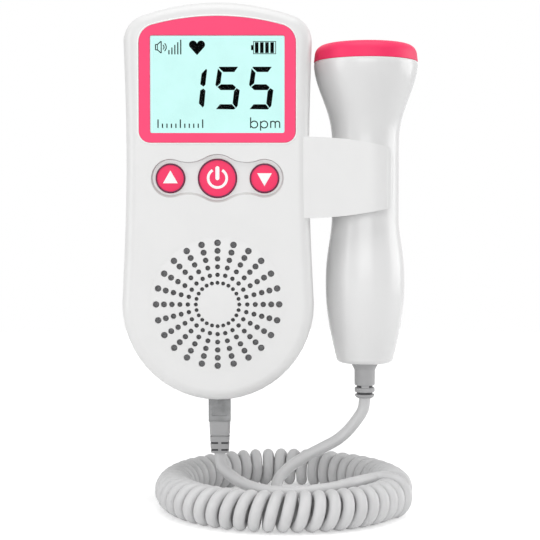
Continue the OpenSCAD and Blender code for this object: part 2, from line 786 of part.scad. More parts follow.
// Door with a round upper edge, a pin at each side and grip grooves at its lower end
module battery_door() {
    color(white) difference() {
        union() {
            slab(door_half_width, -door_inset - door_thick, -door_inset, door_low, hinge_z);
            translate([-door_half_width, hinge_y, hinge_z]) rotate([0, 90, 0])
                cylinder(r = hinge_r, h = 2 * door_half_width);
            translate([-door_half_width - pin_length, hinge_y, hinge_z]) rotate([0, 90, 0])
                cylinder(r = door_pin_r, h = 2 * (door_half_width + pin_length));
        }
        for (i = [0:4])
            slab(8, -door_inset - 0.5, 1, door_low + 3 + 2 * i, door_low + 4 + 2 * i);
    }
}

module lead_jack() {
    color("#3a3a3c") difference() {
        slab(jack_half_width, split_y - 5.5, split_y + 6.1, jack_low_z, jack_high_z);
        jack_space(seat_gap);
    }
}

module case_screws() {
    color("silver") at_both_sides(case_screw_places) {
        post(screw_r, -screw_well - screw_length, -screw_well + eps);
        difference() {
            post(screw_head_r, -screw_well, -screw_well + screw_head_high);
            translate([-0.35, -screw_well + 0.8, -1.4]) cube([0.7, 2, 2.8]);
            translate([-1.4, -screw_well + 0.8, -0.35]) cube([2.8, 2, 0.7]);
        }
    }
}

// Clear plug with four channels for its contacts and a step where the boot begins
module plug_body() {
    half = plug_width / 2;
    front = split_y - plug_thick / 2;
    color("#b4b6b8", 0.9) difference() {
        slab(half, front, split_y + plug_thick / 2, plug_low_z, plug_high_z);
        for (i = [-1.5:1:1.5])
            translate([i * 1.02 - 0.3, front - 1, plug_high_z - 5.5]) cube([0.6, 2.2, 6.5]);
        slab(half - 1.2, front - 1, front + 0.6, plug_low_z + 2, plug_low_z + 5);
    }
}

module plug_contacts() {
    front = split_y - plug_thick / 2;
    color("gold") for (i = [-1.5:1:1.5])
        translate([i * 1.02 - 0.2, front + 0.2, plug_high_z - 5.3]) cube([0.4, 0.95, 5.1]);
}

// Springy latch: it stands away from the plug towards its free end
module plug_latch() {
    length = latch_z - plug_low_z - 1.5;
    color("#c4c6c8", 0.9) translate([-latch_width / 2, latch_y, latch_z]) rotate([latch_angle, 0, 0])
        translate([0, 0, -length]) cube([latch_width, latch_thick, length]);
}

// Ribbed rubber boot, a tapered block with round corners and grooves round it
module plug_boot() {
    color(grey) translate([0, split_y, 0]) difference() {
        hull() {
            translate([0, 0, plug_low_z - 0.1]) linear_extrude(0.1)
                rounded_rectangle(plug_width - 0.4, plug_thick - 0.6, 1, $fn = 24);
            translate([0, 0, boot_low_z]) linear_extrude(0.1)
                rounded_rectangle(plug_width - 1.56, plug_thick - 1.4, 1.4, $fn = 24);
        }
        for (i = [0:2])
            translate([0, 0, boot_low_z + 2.4 + 2.45 * i]) difference() {
                cube([20, 20, 0.7], center = true);
                cube([plug_width - 2.8 + 0.3 * i, plug_thick - 2.6 + 0.2 * i, 2], center = true);
            }
    }
}

// Smooth curve through the points of a route, with some steps from each point to the next
function curve_point(a, b, c, d, t) = 0.5 * (2 * b + (c - a) * t + (2 * a - 5 * b + 4 * c - d) * t * t
    + (3 * b - a - 3 * c + d) * t * t * t);
function curve(p, steps) = concat([for (i = [0:len(p) - 2]) for (k = [0:steps - 1])
    curve_point(p[max(i - 1, 0)], p[i], p[i + 1], p[min(i + 2, len(p) - 1)], k / steps)], [p[len(p) - 1]]);
function unit(v) = v / norm(v);

// One frame per point of a path, each turned as little as possible from the one before
function frames(path, i, last, made) = i == len(path) ? made
    : let (way = unit(path[min(i + 1, len(path) - 1)] - path[max(i - 1, 0)]),
        side = unit(last - (last * way) * way))
        frames(path, i + 1, side, concat(made, [[side, cross(way, side)]]));

module tube(route, r, sides) {
    path = curve(route, 2);
    turned = frames(path, 0, [1, 0.3, 0], []);
    points = [for (i = [0:len(path) - 1]) for (k = [0:sides - 1])
        path[i] + r * (cos(360 * k / sides) * turned[i][0] + sin(360 * k / sides) * turned[i][1])];
    last = (len(path) - 1) * sides;
    skin = [for (i = [0:len(path) - 2]) for (k = [0:sides - 1])
        let (a = i * sides + k, b = i * sides + (k + 1) % sides)
            each [[a, b + sides, b], [a, a + sides, b + sides]]];
    polyhedron(points = points, faces = concat([[for (k = [0:sides - 1]) k]], skin,
        [[for (k = [sides - 1:-1:0]) last + k]]), convexity = 6);
}

module cord_tail_main() { color("lightgray") tube(main_route, lead_r, 8); }
module cord_tail_probe() { color("lightgray") tube(probe_route, lead_r, 8); }

module cord_coil() {
    color("lightgray") translate(ring_place) rotate([0, 0, ring_start])
        rotate_extrude(angle = ring_sweep, $fn = 96) translate([ring_r, 0]) circle(curl_r, $fn = 32);
}

module on_probe() {
    translate([probe_x, split_y, 0]) children();
}

// Collar under the probe, a straight sleeve with grooves, a flange inside and a round end
module probe_relief() {
    inside_z = foot_z + probe_wall + seat_gap;
    slot = 0.9;
    rim = [[0, inside_z + 1.5], [relief_r + 1.5, inside_z + 1.5], [relief_r + 1.5, inside_z],
        [relief_r, inside_z], [relief_r, foot_z], [relief_r + 1.1, foot_z], [relief_r + 1.1, foot_z - 0.5],
        [relief_r, foot_z - 2.2], [relief_r, foot_z - 7.9], [relief_r - slot, foot_z - 7.9],
        [relief_r - slot, foot_z - 8.7], [relief_r, foot_z - 8.7], [relief_r, foot_z - 9.8],
        [relief_r - slot, foot_z - 9.8], [relief_r - slot, foot_z - 10.7], [relief_r, foot_z - 10.7],
        [relief_r, relief_end_z + 1], [relief_r - 0.8, relief_end_z], [0, relief_end_z]];
    color(grey) on_probe() rotate_extrude() polygon(rim);
}

// Radius of the probe at height z: foot, grip, neck and head flow into each other
function ease(s) = (1 - cos(180 * s)) / 2;
function probe_radius(z) =
    z < neck_low - grip_drop ? foot_r + (grip_r - foot_r)
        * sin(90 * pow(max((z - foot_z - foot_edge) / (foot_drop - grip_drop - foot_edge), 0), 0.85))
    : z < neck_low ? grip_r + (neck_r - grip_r) * ease(pow((z - neck_low + grip_drop) / grip_drop, 1.3))
    : z < neck_high ? neck_r
    : neck_r + (head_r - neck_r) * ease(pow(min((z - neck_high) / seam_rise, 1), 1.12));

// Heights of the bands that the probe's surface is made of
probe_heights = concat(
    [for (i = [0:8]) foot_z + foot_edge + (foot_drop - grip_drop - foot_edge) * i / 8],
    [for (i = [1:6]) neck_low - grip_drop + grip_drop * i / 6],
    [for (i = [0:8]) neck_high + seam_rise * i / 8]);

module probe_half() {
    outside = concat([[relief_hole_r, foot_z], [foot_r - 1.6, foot_z], [foot_r - 0.5, foot_z + 0.7]],
        [for (z = probe_heights) [probe_radius(z), z]]);
    inside = [for (i = [len(probe_heights) - 1:-1:0])
        [probe_radius(probe_heights[i]) - probe_wall, probe_heights[i]]];
    floor_z = foot_z + probe_wall;
    difference() {
        rotate_extrude(angle = 180)
            polygon(concat(outside, inside,
                [[foot_r - probe_wall - 0.4, floor_z], [relief_hole_r, floor_z]]));
        translate([0, 0, seam_z - spigot_length - 0.3]) cylinder(r = spigot_r + seat_gap, h = 20);
    }
    // rails that hold the edges of the little board
    for (way = [-1, 1])
        intersection() {
            translate([way * 8 - 0.8, 0.9, neck_high - 12]) cube([1.6, 12, 10]);
            cylinder(r = neck_r - 0.5, h = 100);
        }
}

module probe_shell_front() { color(white) on_probe() rotate([0, 0, 180]) probe_half(); }
module probe_shell_rear() { color(white) on_probe() probe_half(); }

module probe_cap() {
    edge_x = head_r - cap_edge_r;
    sag = 1.15;
    edge_z = cap_top_z - sag - cap_edge_r;
    dome_r = (edge_x * edge_x + sag * sag) / (2 * sag);
    skirt_z = seam_z - spigot_length;
    rim = concat([[spigot_r - 1.5, skirt_z], [spigot_r, skirt_z], [spigot_r, seam_z + seam_gap],
        [head_r, seam_z + seam_gap]],
        [for (i = [0:7]) [edge_x + cap_edge_r * cos(90 * i / 8), edge_z + cap_edge_r * sin(90 * i / 8)]],
        [for (i = [0:6]) let (x = edge_x * (1 - i / 6))
            [x, cap_top_z - dome_r + sqrt(dome_r * dome_r - x * x)]],
        [[0, crystal_z], [crystal_r + 1, crystal_z], [spigot_r - 1.5, crystal_z - 2.5]]);
    color(pink) on_probe() rotate_extrude() polygon(rim);
}

// Two D-shaped crystals side by side, one to send and one to receive
module transducer_crystals() {
    color("khaki") on_probe() difference() {
        translate([0, 0, crystal_z - crystal_thick]) cylinder(r = crystal_r, h = crystal_thick);
        translate([-0.4, -20, crystal_z - 5]) cube([0.8, 40, 10]);
    }
}

module transducer_backing() {
    color("#505058") on_probe() translate([0, 0, probe_board_high])
        cylinder(r = crystal_r, h = backing_thick);
}

// Board on edge in its two rails, with a chip on its back
module probe_board() {
    half_thick = 0.8;
    chip_z = neck_high - 2;
    chip_size = 6;
    color("seagreen") on_probe() {
        slab(8.8, -half_thick, half_thick, neck_high - 15, probe_board_high);
        slab(chip_size / 2, half_thick - eps, half_thick + 1.6, chip_z, chip_z + chip_size);
    }
}

front_shell();
rear_shell();
probe_clip();
bezel();
display_window();
lcd_panel();
lcd_backlight();
lcd_holder();
main_board();
board_chips();
board_screws();
tact_switches();
power_plunger();
up_plunger();
down_plunger();
power_button();
up_button();
down_button();
speaker_grille();
speaker_gasket();
speaker_frame();
speaker_cone();
speaker_magnet();
battery_1();
battery_2();
battery_springs();
battery_contacts();
battery_door();
lead_jack();
case_screws();
plug_body();
plug_contacts();
plug_latch();
plug_boot();
cord_tail_main();
cord_coil();
cord_tail_probe();
probe_relief();
probe_shell_front();
probe_shell_rear();
probe_cap();
transducer_crystals();
transducer_backing();
probe_board();
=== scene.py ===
"""Looks of a hand-held fetal heart monitor, its probe in the side holder and its curly lead.

The front faces -Y and +Z is up. Lengths are metres, and the lists of places are in millimetres.
"""

import math

import bmesh
import bpy
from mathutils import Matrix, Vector
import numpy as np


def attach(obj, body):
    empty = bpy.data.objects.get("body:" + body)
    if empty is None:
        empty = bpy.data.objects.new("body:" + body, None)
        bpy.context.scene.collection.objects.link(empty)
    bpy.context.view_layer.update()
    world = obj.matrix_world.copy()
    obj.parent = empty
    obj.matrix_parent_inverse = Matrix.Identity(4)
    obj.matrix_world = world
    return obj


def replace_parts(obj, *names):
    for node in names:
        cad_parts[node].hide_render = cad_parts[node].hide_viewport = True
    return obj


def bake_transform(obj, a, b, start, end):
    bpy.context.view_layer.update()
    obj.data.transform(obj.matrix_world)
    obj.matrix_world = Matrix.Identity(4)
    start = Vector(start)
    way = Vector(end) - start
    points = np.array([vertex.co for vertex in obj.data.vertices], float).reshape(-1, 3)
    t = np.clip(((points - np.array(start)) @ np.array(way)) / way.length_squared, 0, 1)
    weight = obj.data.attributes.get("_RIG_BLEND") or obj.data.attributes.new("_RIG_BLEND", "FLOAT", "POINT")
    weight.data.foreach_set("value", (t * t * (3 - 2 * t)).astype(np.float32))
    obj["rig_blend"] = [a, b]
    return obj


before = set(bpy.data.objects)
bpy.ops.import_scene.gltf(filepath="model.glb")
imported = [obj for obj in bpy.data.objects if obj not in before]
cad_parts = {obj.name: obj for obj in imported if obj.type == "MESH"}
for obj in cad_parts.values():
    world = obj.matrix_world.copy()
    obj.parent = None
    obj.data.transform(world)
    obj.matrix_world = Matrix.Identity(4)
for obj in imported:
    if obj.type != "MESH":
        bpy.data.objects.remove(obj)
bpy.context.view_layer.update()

MM = 0.001
FRONT_Y = -36.0
SPLIT_Y = -18.0
PROBE_X = 50.85
FLOOR_Z = -106.7


# ---------------------------------------------------------------- camera


def set_camera():
    lens = bpy.data.cameras.new("camera")
    lens.lens = 83.5
    lens.clip_start = 0.01
    eye = bpy.data.objects.new("camera", lens)
    eye.location = (17.6 * MM, -456 * MM, -5.1 * MM)
    eye.rotation_euler = (math.radians(87.6), 0, 0)
    bpy.context.scene.collection.objects.link(eye)
    bpy.context.scene.camera = eye


# ---------------------------------------------------------------- finishes


class Value:
    """A number on a surface that ordinary arithmetic works on."""

    def __init__(self, finish, socket):
        self.finish, self.socket = finish, socket

    def math(self, operation, *numbers):
        sockets = dict(enumerate(numbers))
        return self.finish.add("ShaderNodeMath", {"operation": operation}, sockets)

    def __add__(self, other):
        return self.math("ADD", self, other)

    def __sub__(self, other):
        return self.math("SUBTRACT", self, other)

    def __rsub__(self, other):
        return self.math("SUBTRACT", other, self)

    def __mul__(self, other):
        return self.math("MULTIPLY", self, other)

    __radd__, __rmul__ = __add__, __mul__

    def ramp(self, start, end, low=0.0, high=1.0):
        """Low up to start, high from end on, and a soft step between them."""
        limits = {1: start, 2: end, 3: low, 4: high, 0: self}
        return self.finish.add("ShaderNodeMapRange", {"interpolation_type": "SMOOTHSTEP"}, limits)


class Finish:
    """A material with a plain surface that detail is laid on."""

    def __init__(self, name, colour, rough, sockets=None):
        self.material = bpy.data.materials.new(name)
        self.material.use_nodes = True
        self.tree = self.material.node_tree
        self.surface = self.tree.nodes["Principled BSDF"]
        self.set({"Base Color": (*colour, 1), "Roughness": rough, **(sockets or {})})

    def add(self, kind, settings=None, sockets=None, out=0):
        """A node with its settings, then its sockets, as a value."""
        node = self.tree.nodes.new(kind)
        for name, value in (settings or {}).items():
            setattr(node, name, value)
        for name, value in (sockets or {}).items():
            self.join(node.inputs[name], value)
        return Value(self, node.outputs[out])

    def join(self, socket, value):
        if isinstance(value, Value):
            self.tree.links.new(value.socket, socket)
        else:
            socket.default_value = value

    def set(self, sockets):
        for name, value in sockets.items():
            self.join(self.surface.inputs[name], value)

    def place(self):
        return self.add("ShaderNodeTexCoord", out="Object")

    def noise(self, size, detail=2.0, rough=0.5, place=None):
        """Soft cloud whose patches are about size millimetres."""
        sockets = {"Vector": place or self.place(), "Scale": 1 / (size * MM)}
        sockets.update({"Detail": detail, "Roughness": rough})
        return self.add("ShaderNodeTexNoise", {}, sockets, out=0)

    def blend(self, amount, colour_a, colour_b):
        sockets = {0: amount, 6: full(colour_a), 7: full(colour_b)}
        return self.add("ShaderNodeMix", {"data_type": "RGBA"}, sockets, out=2)

    def bump(self, height, depth, strength=1.0):
        """Relief of so many millimetres."""
        sockets = {"Height": height, "Distance": depth * MM, "Strength": strength}
        self.set({"Normal": self.add("ShaderNodeBump", {}, sockets)})


def full(colour):
    return colour if isinstance(colour, Value) else (*colour, 1)


def moulded(name, colour, rough, grain=0.25, depth=0.004, shade=0.97, sockets=None):
    """Moulded plastic: fine grain, faint flow in the colour and uneven gloss."""
    made = Finish(name, colour, rough, sockets)
    flow = made.noise(18, 3)
    made.set({"Base Color": made.blend(flow.ramp(0.35, 0.65), [c * shade for c in colour], colour)})
    made.set({"Roughness": made.noise(6, 3) * 0.1 + (rough - 0.05)})
    made.bump(made.noise(grain, 2), depth)
    return made


def metal(name, colour, rough, size=1.5):
    made = Finish(name, colour, rough, sockets={"Metallic": 1.0})
    wear = made.noise(size, 4)
    made.set({"Base Color": made.blend(wear.ramp(0.3, 0.7), [c * 0.85 for c in colour], colour)})
    made.set({"Roughness": wear * 0.2 + (rough - 0.1)})
    made.bump(made.noise(0.2, 2), 0.003)
    return made


WHITE = (0.775, 0.775, 0.773)
PINK = (0.94, 0.038, 0.140)
BRIGHT_PINK = (1.0, 0.072, 0.198)
LEAD = (0.62, 0.62, 0.624)
GREY = (0.42, 0.42, 0.425)
SATIN = {"Specular IOR Level": 0.25}
NO_GLOSS = {"Specular IOR Level": 0.0}


def make_finishes():
    made = {}
    made["case"] = moulded("case_plastic", WHITE, 0.34, 0.3, 0.003, 0.985)
    made["holder"] = moulded("holder_plastic", WHITE, 0.34, 0.3, 0.003, 0.985)
    made["probe"] = moulded("probe_plastic", (0.78, 0.78, 0.78), 0.24, 0.4, 0.001, 0.985)
    made["keys"] = moulded("pink_keys", PINK, 0.45, 0.3, 0.002, 0.97, SATIN)
    made["bezel"] = moulded("pink_surround", BRIGHT_PINK, 0.5, 0.25, 0.003, 0.98, SATIN)
    made["cap"] = moulded("pink_face", PINK, 0.45, 0.4, 0.002, 0.97, SATIN)
    # Paler than the case: a painted highlight for beads on edges that catch the light
    made["trim"] = moulded("pale_trim", (0.93, 0.97, 0.95), 0.4, 0.3, 0.002)
    made["ink"] = moulded("print_white", (0.97, 0.96, 0.96), 0.5, 0.15, 0.001, 0.98)
    # Near-black bead colour: painted shade for the gap round each key
    made["key_gap_shade"] = moulded("key_gap_shade", (0.13, 0.05, 0.10), 0.5, 0.3, 0.002, 0.9, SATIN)
    # Darker grey for the recess's upper wall: painted shade
    made["recess"] = moulded("recess_shade_wall", (0.56, 0.56, 0.56), 0.5, 0.3, 0.003, 0.98, SATIN)
    # Grey inner plastic, also laid on the recess's lower wall as painted shade
    made["inner"] = moulded("inner_plastic", (0.62, 0.62, 0.61), 0.5, 0.5, 0.01)
    # Near-black jack plastic, also laid in the slots of the strain relief and boot as painted shade
    made["jack"] = moulded("jack_plastic_and_slot_shade", (0.035, 0.035, 0.038), 0.4, 0.3, 0.006, 0.8)
    made["chip"] = moulded("chip_plastic", (0.03, 0.03, 0.03), 0.55, 0.2, 0.01, 0.7)
    made["rubber"] = moulded("grey_rubber", GREY, 0.55, 0.35, 0.01, 0.93)
    made["foam"] = moulded("foam", (0.06, 0.06, 0.062), 0.9, 0.5, 0.12, 0.6)
    made["paper"] = moulded("cone_paper", (0.035, 0.034, 0.033), 0.8, 0.5, 0.06, 0.6)
    made["crystal"] = moulded("fired_ceramic", (0.62, 0.56, 0.40), 0.5, 0.2, 0.008, 0.9)
    made["magnet"] = metal("plated_magnet", (0.45, 0.45, 0.46), 0.38)
    made["steel"] = metal("screw_steel", (0.60, 0.60, 0.61), 0.32, 0.8)
    made["brass"] = metal("contact_gold", (0.80, 0.58, 0.24), 0.28, 0.8)
    made["lead"] = moulded("lead_sleeve", LEAD, 0.42, 0.5, 0.006, 0.95)
    made["plug"] = smoky_plug()
    made["window"] = clear_window()
    made["display"] = lit_display()
    made["guide"] = moulded("frosted_guide", (0.75, 0.80, 0.80), 0.6, 0.6, 0.02, 0.95)
    made["digits"] = moulded("display_dark", (0.001, 0.001, 0.0015), 0.6, 0.3, 0.001, 0.6, NO_GLOSS)
    made["board"] = board_mask()
    made["cell"] = cell_sleeve()
    made["cloth"] = dust_cloth()
    return made


def smoky_plug():
    made = Finish("smoky_plug", (0.36, 0.365, 0.37), 0.22, sockets={"Transmission Weight": 0.35, "IOR": 1.5})
    cloud = made.noise(2.5, 3)
    made.set({"Base Color": made.blend(cloud.ramp(0.3, 0.7), (0.32, 0.325, 0.33), (0.42, 0.425, 0.43))})
    made.set({"Roughness": cloud * 0.15 + 0.16})
    made.bump(made.noise(0.5, 2), 0.004)
    return made


def clear_window():
    """Almost clear, so that what lies behind it keeps its colour."""
    made = Finish("clear_window", (0.02, 0.03, 0.03), 0.08, sockets={"IOR": 1.3})
    smear = made.noise(9, 4)
    made.set({"Alpha": smear.ramp(0.2, 0.9, 0.02, 0.05), "Roughness": smear * 0.06 + 0.05})
    made.bump(made.noise(4, 2), 0.001)
    return made


def lit_display():
    """Pale cyan light with a slow drift, behind a fine grain."""
    glow = (0.57, 0.95, 0.91)
    made = Finish("lit_display", (0.02, 0.03, 0.03), 0.4, sockets={"Emission Strength": 1.0})
    drift = made.noise(14, 2).ramp(0.3, 0.7)
    made.set({"Emission Color": made.blend(drift, [c * 0.985 for c in glow], glow)})
    made.bump(made.noise(0.4, 1), 0.002)
    return made


def board_mask():
    """Green mask with copper tracks under it and a drift in its colour."""
    made = Finish("board_mask", (0.02, 0.14, 0.07), 0.35)
    cells = {"Vector": made.place(), "Scale": 380.0, "Randomness": 0.15}
    tracks = made.add("ShaderNodeTexVoronoi", {"distance": "MANHATTAN"}, cells)
    lines = tracks.ramp(0.42, 0.5)
    green = made.blend(made.noise(7, 3).ramp(0.3, 0.7), (0.012, 0.10, 0.05), (0.02, 0.16, 0.08))
    made.set({"Base Color": made.blend(lines, green, (0.05, 0.26, 0.13))})
    made.bump(lines, 0.03)
    return made


def cell_sleeve():
    """Dark, slightly scuffed sleeve of a battery cell."""
    made = Finish("cell_sleeve", (0.05, 0.05, 0.055), 0.3, sockets={"Metallic": 0.6})
    scuff = made.noise(1.2, 4)
    made.set({"Base Color": made.blend(scuff.ramp(0.4, 0.75), (0.045, 0.045, 0.05), (0.10, 0.10, 0.11))})
    made.set({"Roughness": scuff * 0.25 + 0.2})
    made.bump(made.noise(0.3, 2), 0.004)
    return made


def dust_cloth():
    """Fine woven cloth behind the grille."""
    made = Finish("dust_cloth", (0.10, 0.10, 0.105), 0.9)
    place = made.place()
    weave = made.noise(0.35, 1, place=place)
    made.set({"Base Color": made.blend(weave.ramp(0.35, 0.65), (0.14, 0.14, 0.145), (0.24, 0.24, 0.245))})
    made.bump(weave, 0.15)
    return made


# ---------------------------------------------------------------- making shapes


def paint(obj, finish):
    obj.data.materials.clear()
    obj.data.materials.append(finish.material)


def paint_node(node, finish):
    """Gives a CAD node its finish without touching its mesh."""
    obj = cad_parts[node]
    for slot in obj.material_slots:
        slot.link = "OBJECT"
        slot.material = finish.material


def settle(obj, finish, body, sharp=32.0, even=True):
    """Soft shading that stays crisp at sharp edges, then the finish and the body that it rides on."""
    obj.data.polygons.foreach_set("use_smooth", [True] * len(obj.data.polygons))
    obj.data.set_sharp_from_angle(angle=math.radians(sharp))
    if even:
        weighted = obj.modifiers.new("even_normals", "WEIGHTED_NORMAL")
        weighted.keep_sharp = True
    paint(obj, finish)
    if body:
        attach(obj, body)
    return obj


def piece(name, points, faces):
    """An object of a mesh whose points are in millimetres."""
    data = bpy.data.meshes.new(name)
    data.from_pydata([[c * MM for c in p] for p in points], [], faces)
    data.validate()
    obj = bpy.data.objects.new(name, data)
    bpy.context.scene.collection.objects.link(obj)
    shell = bmesh.new()
    shell.from_mesh(data)
    bmesh.ops.recalc_face_normals(shell, faces=shell.faces)
    shell.to_mesh(data)
    shell.free()
    return obj


def from_shell(shell, name):
    """An object of a finished shell of faces, which is then let go."""
    data = bpy.data.meshes.new(name)
    shell.to_mesh(data)
    shell.free()
    obj = bpy.data.objects.new(name, data)
    bpy.context.scene.collection.objects.link(obj)
    return obj


def refined(node, name, bevel=0.0, steps=3, angle=40.0, reshape=None):
    """A copy of a CAD node with joined corners and, if asked, moved corners and rounded edges."""
    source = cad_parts[node]
    data = source.data.copy()
    data.name = name
    obj = bpy.data.objects.new(name, data)
    bpy.context.scene.collection.objects.link(obj)
    for attribute in [a.name for a in data.attributes if a.name == "custom_normal"]:
        data.attributes.remove(data.attributes[attribute])
    shell = bmesh.new()
    shell.from_mesh(data)
    bmesh.ops.remove_doubles(shell, verts=shell.verts, dist=1e-6)
    for v in shell.verts if reshape else []:
        v.co = [c * MM for c in reshape(*(c / MM for c in v.co))]
    if bevel:
        flat = math.radians(0.05)
        bmesh.ops.dissolve_limit(shell, angle_limit=flat, verts=shell.verts, edges=shell.edges)
    bmesh.ops.recalc_face_normals(shell, faces=shell.faces)
    shell.to_mesh(data)
    shell.free()
    if bevel:
        rounding = obj.modifiers.new("rounding", "BEVEL")
        rounding.width = bevel * MM
        rounding.segments = steps
        rounding.limit_method = "ANGLE"
        rounding.angle_limit = math.radians(angle)
        bake(obj)
    return obj


def bake(obj):
    """Applies an object's modifiers."""
    seen = obj.evaluated_get(bpy.context.evaluated_depsgraph_get())
    data = bpy.data.meshes.new_from_object(seen)
    obj.modifiers.clear()
    obj.data = data


def ring(name, line, radius):
    """A thin round bead along a flat closed line of points."""
    points, faces = tube_mesh([*line, line[0]], radius, 8)
    return piece(name, points, faces)


def tube_frames(line):
    """For each point of a line, two directions across it, turned as little as possible."""
    points = [Vector(p) for p in line]
    last = len(points) - 1
    side = Vector((1.0, 0.3, 0.0))
    turned = []
    for i in range(len(points)):
        way = (points[min(i + 1, last)] - points[max(i - 1, 0)]).normalized()
        side = (side - side.dot(way) * way).normalized()
        turned.append((side, way.cross(side)))
    return points, turned


def tube_mesh(line, radius, sides, cut=None):
    """Points and faces of a tube along part of a line, with its ends closed."""
    points, turned = tube_frames(line)
    first, last = cut or (0, len(points) - 1)
    spots = []
    for i in range(first, last + 1):
        for k in range(sides):
            a = 2 * math.pi * k / sides
            spots.append(points[i] + radius * (math.cos(a) * turned[i][0] + math.sin(a) * turned[i][1]))
    faces = []
    for i in range(last - first):
        for k in range(sides):
            a, b = i * sides + k, i * sides + (k + 1) % sides
            faces.append((a, b, b + sides, a + sides))
    end = (last - first) * sides
    faces.append(tuple(range(sides - 1, -1, -1)))
    faces.append(tuple(end + k for k in range(sides)))
    return [tuple(p) for p in spots], faces


def lathe(name, profile, place, turn=(0.0, 360.0), steps=128):
    """A closed profile of (radius, height) turned about an upright axis."""
    start, sweep = math.radians(turn[0]), math.radians(turn[1])
    whole = abs(turn[1] - 360) < 1e-6
    rows = steps if whole else steps + 1
    count = len(profile)
    points, faces = [], []
    for i in range(rows):
        a = start + sweep * i / steps
        for r, z in profile:
            points.append((place[0] + r * math.cos(a), place[1] + r * math.sin(a), z))
    for i in range(steps):
        j = (i + 1) % rows
        for k in range(count):
            m = (k + 1) % count
            faces.append((i * count + k, j * count + k, j * count + m, i * count + m))
    if not whole:
        faces.append(tuple(range(count)))
        faces.append(tuple((rows - 1) * count + k for k in range(count - 1, -1, -1)))
    made = piece(name, points, faces)
    shell = bmesh.new()
    shell.from_mesh(made.data)
    bmesh.ops.remove_doubles(shell, verts=shell.verts, dist=1e-7)
    bmesh.ops.recalc_face_normals(shell, faces=shell.faces)
    shell.to_mesh(made.data)
    shell.free()
    return made


def box(name, middle, size):
    """A plain block about its middle."""
    x, y, z = middle
    dx, dy, dz = (side / 2 for side in size)
    corners = [(x + i * dx, y + j * dy, z + k * dz) for i in (-1, 1) for j in (-1, 1) for k in (-1, 1)]
    sides = [(0, 1, 3, 2), (4, 6, 7, 5), (0, 4, 5, 1), (2, 3, 7, 6), (0, 2, 6, 4), (1, 5, 7, 3)]
    return piece(name, corners, sides)


def slabs(name, outlines, front, thick):
    """Thin flat prints or plates in the X and Z plane, from outlines that may be concave."""
    shell = bmesh.new()
    for outline in outlines:
        corners = [shell.verts.new((x * MM, front * MM, z * MM)) for x, z in outline]
        face = shell.faces.new(corners)
        raised = bmesh.ops.extrude_face_region(shell, geom=[face])
        moved = [v for v in raised["geom"] if isinstance(v, bmesh.types.BMVert)]
        bmesh.ops.translate(shell, verts=moved, vec=(0, thick * MM, 0))
    bmesh.ops.recalc_face_normals(shell, faces=shell.faces)
    bmesh.ops.triangulate(shell, faces=[f for f in shell.faces if len(f.verts) > 4])
    return from_shell(shell, name)


def arc(x, z, r, start, end, steps):
    """Points of an arc, with both ends."""
    turned = [math.radians(start + (end - start) * i / steps) for i in range(steps + 1)]
    return [(x + r * math.cos(a), z + r * math.sin(a)) for a in turned]


# ---------------------------------------------------------------- the lead

LEAD_R = 2.0
RING_PLACE = Vector((22.5, -17.0, -99.9))
RING_R = 38.4
CURL_R = 4.8
CURL_SPAN = 7.0  # degrees of the ring that one curl takes
# From the boot over the front of the ring, and from the strain relief down into the ring
MAIN_ROUTE = [
    (0, -18, -86), (0, -18, -87.5), (0, -18, -88.3), (0.7, -20.5, -92), (5.2, -27.5, -94.8), (10.2, -35, -95.9),
    (14.8, -41, -96), (19.3, -44.5, -95.9), (26, -46, -95.7), (32.7, -45.5, -95.2), (39.2, -43, -94.8),
    (44.9, -40, -94), (50, -34, -94.2), (54.4, -30.6, -94), (57, -31.2, -93.7)]
PROBE_ROUTE = [
    (PROBE_X, -18, -66.5), (PROBE_X, -18, -68.3), (PROBE_X, -18, -69.1), (50.3, -18, -72.6), (48.36, -18, -75.8),
    (45.1, -18, -79.9), (41.3, -18, -83.2), (36.6, -18, -85.8), (31.9, -18.2, -88.2), (27.1, -19, -90.8),
    (23.4, -20.5, -93.4), (20.5, -23, -96.4), (19.8, -26, -99.3), (21.5, -29.5, -102.6), (26, -32.5, -104.4),
    (32, -33.5, -104.6), (39, -31.5, -104.6), (45.5, -26, -104.6), (51, -22.5, -104.65), (56, -20.8, -104.7)]


def ring_spot(place, reach, height):
    """A spot about the ring's middle line, which lies a little nearer at its right, back and left."""
    u, v = math.cos(place), math.sin(place)
    nearer = 1.5 * (1 + v) + 2.8 * max(u, 0) + 1.3 * max(-u, 0)
    return RING_PLACE + Vector((reach * u, reach * v - nearer, height))


def curl(start, end, phase, steps=24):
    """Helix round the ring, from one place on the ring to another, with a wider last turn."""
    points, place = [], start
    widening, lean = 0.25, 0.4
    while place < end:
        a, b = math.radians(place), math.radians(phase)
        radius = CURL_R * (1 + widening * max((place - end + CURL_SPAN) / CURL_SPAN, 0))
        height = max(radius * math.sin(b), -CURL_R)
        at = ring_spot(a, RING_R + radius * math.cos(b), height)
        points.append(tuple(at + lean * math.sin(b) * Vector((-math.sin(a), math.cos(a), 0))))
        span = CURL_SPAN - 0.2 * math.cos(math.radians(place - 270))
        phase += 360 / steps
        place += span / steps
    return points


def smooth_line(controls, step=1.6):
    """Even, soft line through control points whose spacing varies."""
    points = [Vector(p) for p in controls]
    points = [2 * points[0] - points[1], *points, 2 * points[-1] - points[-2]]
    line = []
    for i in range(1, len(points) - 2):
        p = points[i - 1 : i + 3]
        knots = [0.0]
        for k in range(3):
            knots.append(knots[-1] + max((p[k + 1] - p[k]).length, 1e-6) ** 0.5)
        count = max(1, round((p[2] - p[1]).length / step))
        for n in range(count):
            t = knots[1] + (knots[2] - knots[1]) * n / count
            a = [p[k].lerp(p[k + 1], (t - knots[k]) / (knots[k + 1] - knots[k])) for k in range(3)]
            b = [a[k].lerp(a[k + 1], (t - knots[k]) / (knots[k + 2] - knots[k])) for k in range(2)]
            line.append(b[0].lerp(b[1], (t - knots[1]) / (knots[2] - knots[1])))
    return line + [points[-2]]


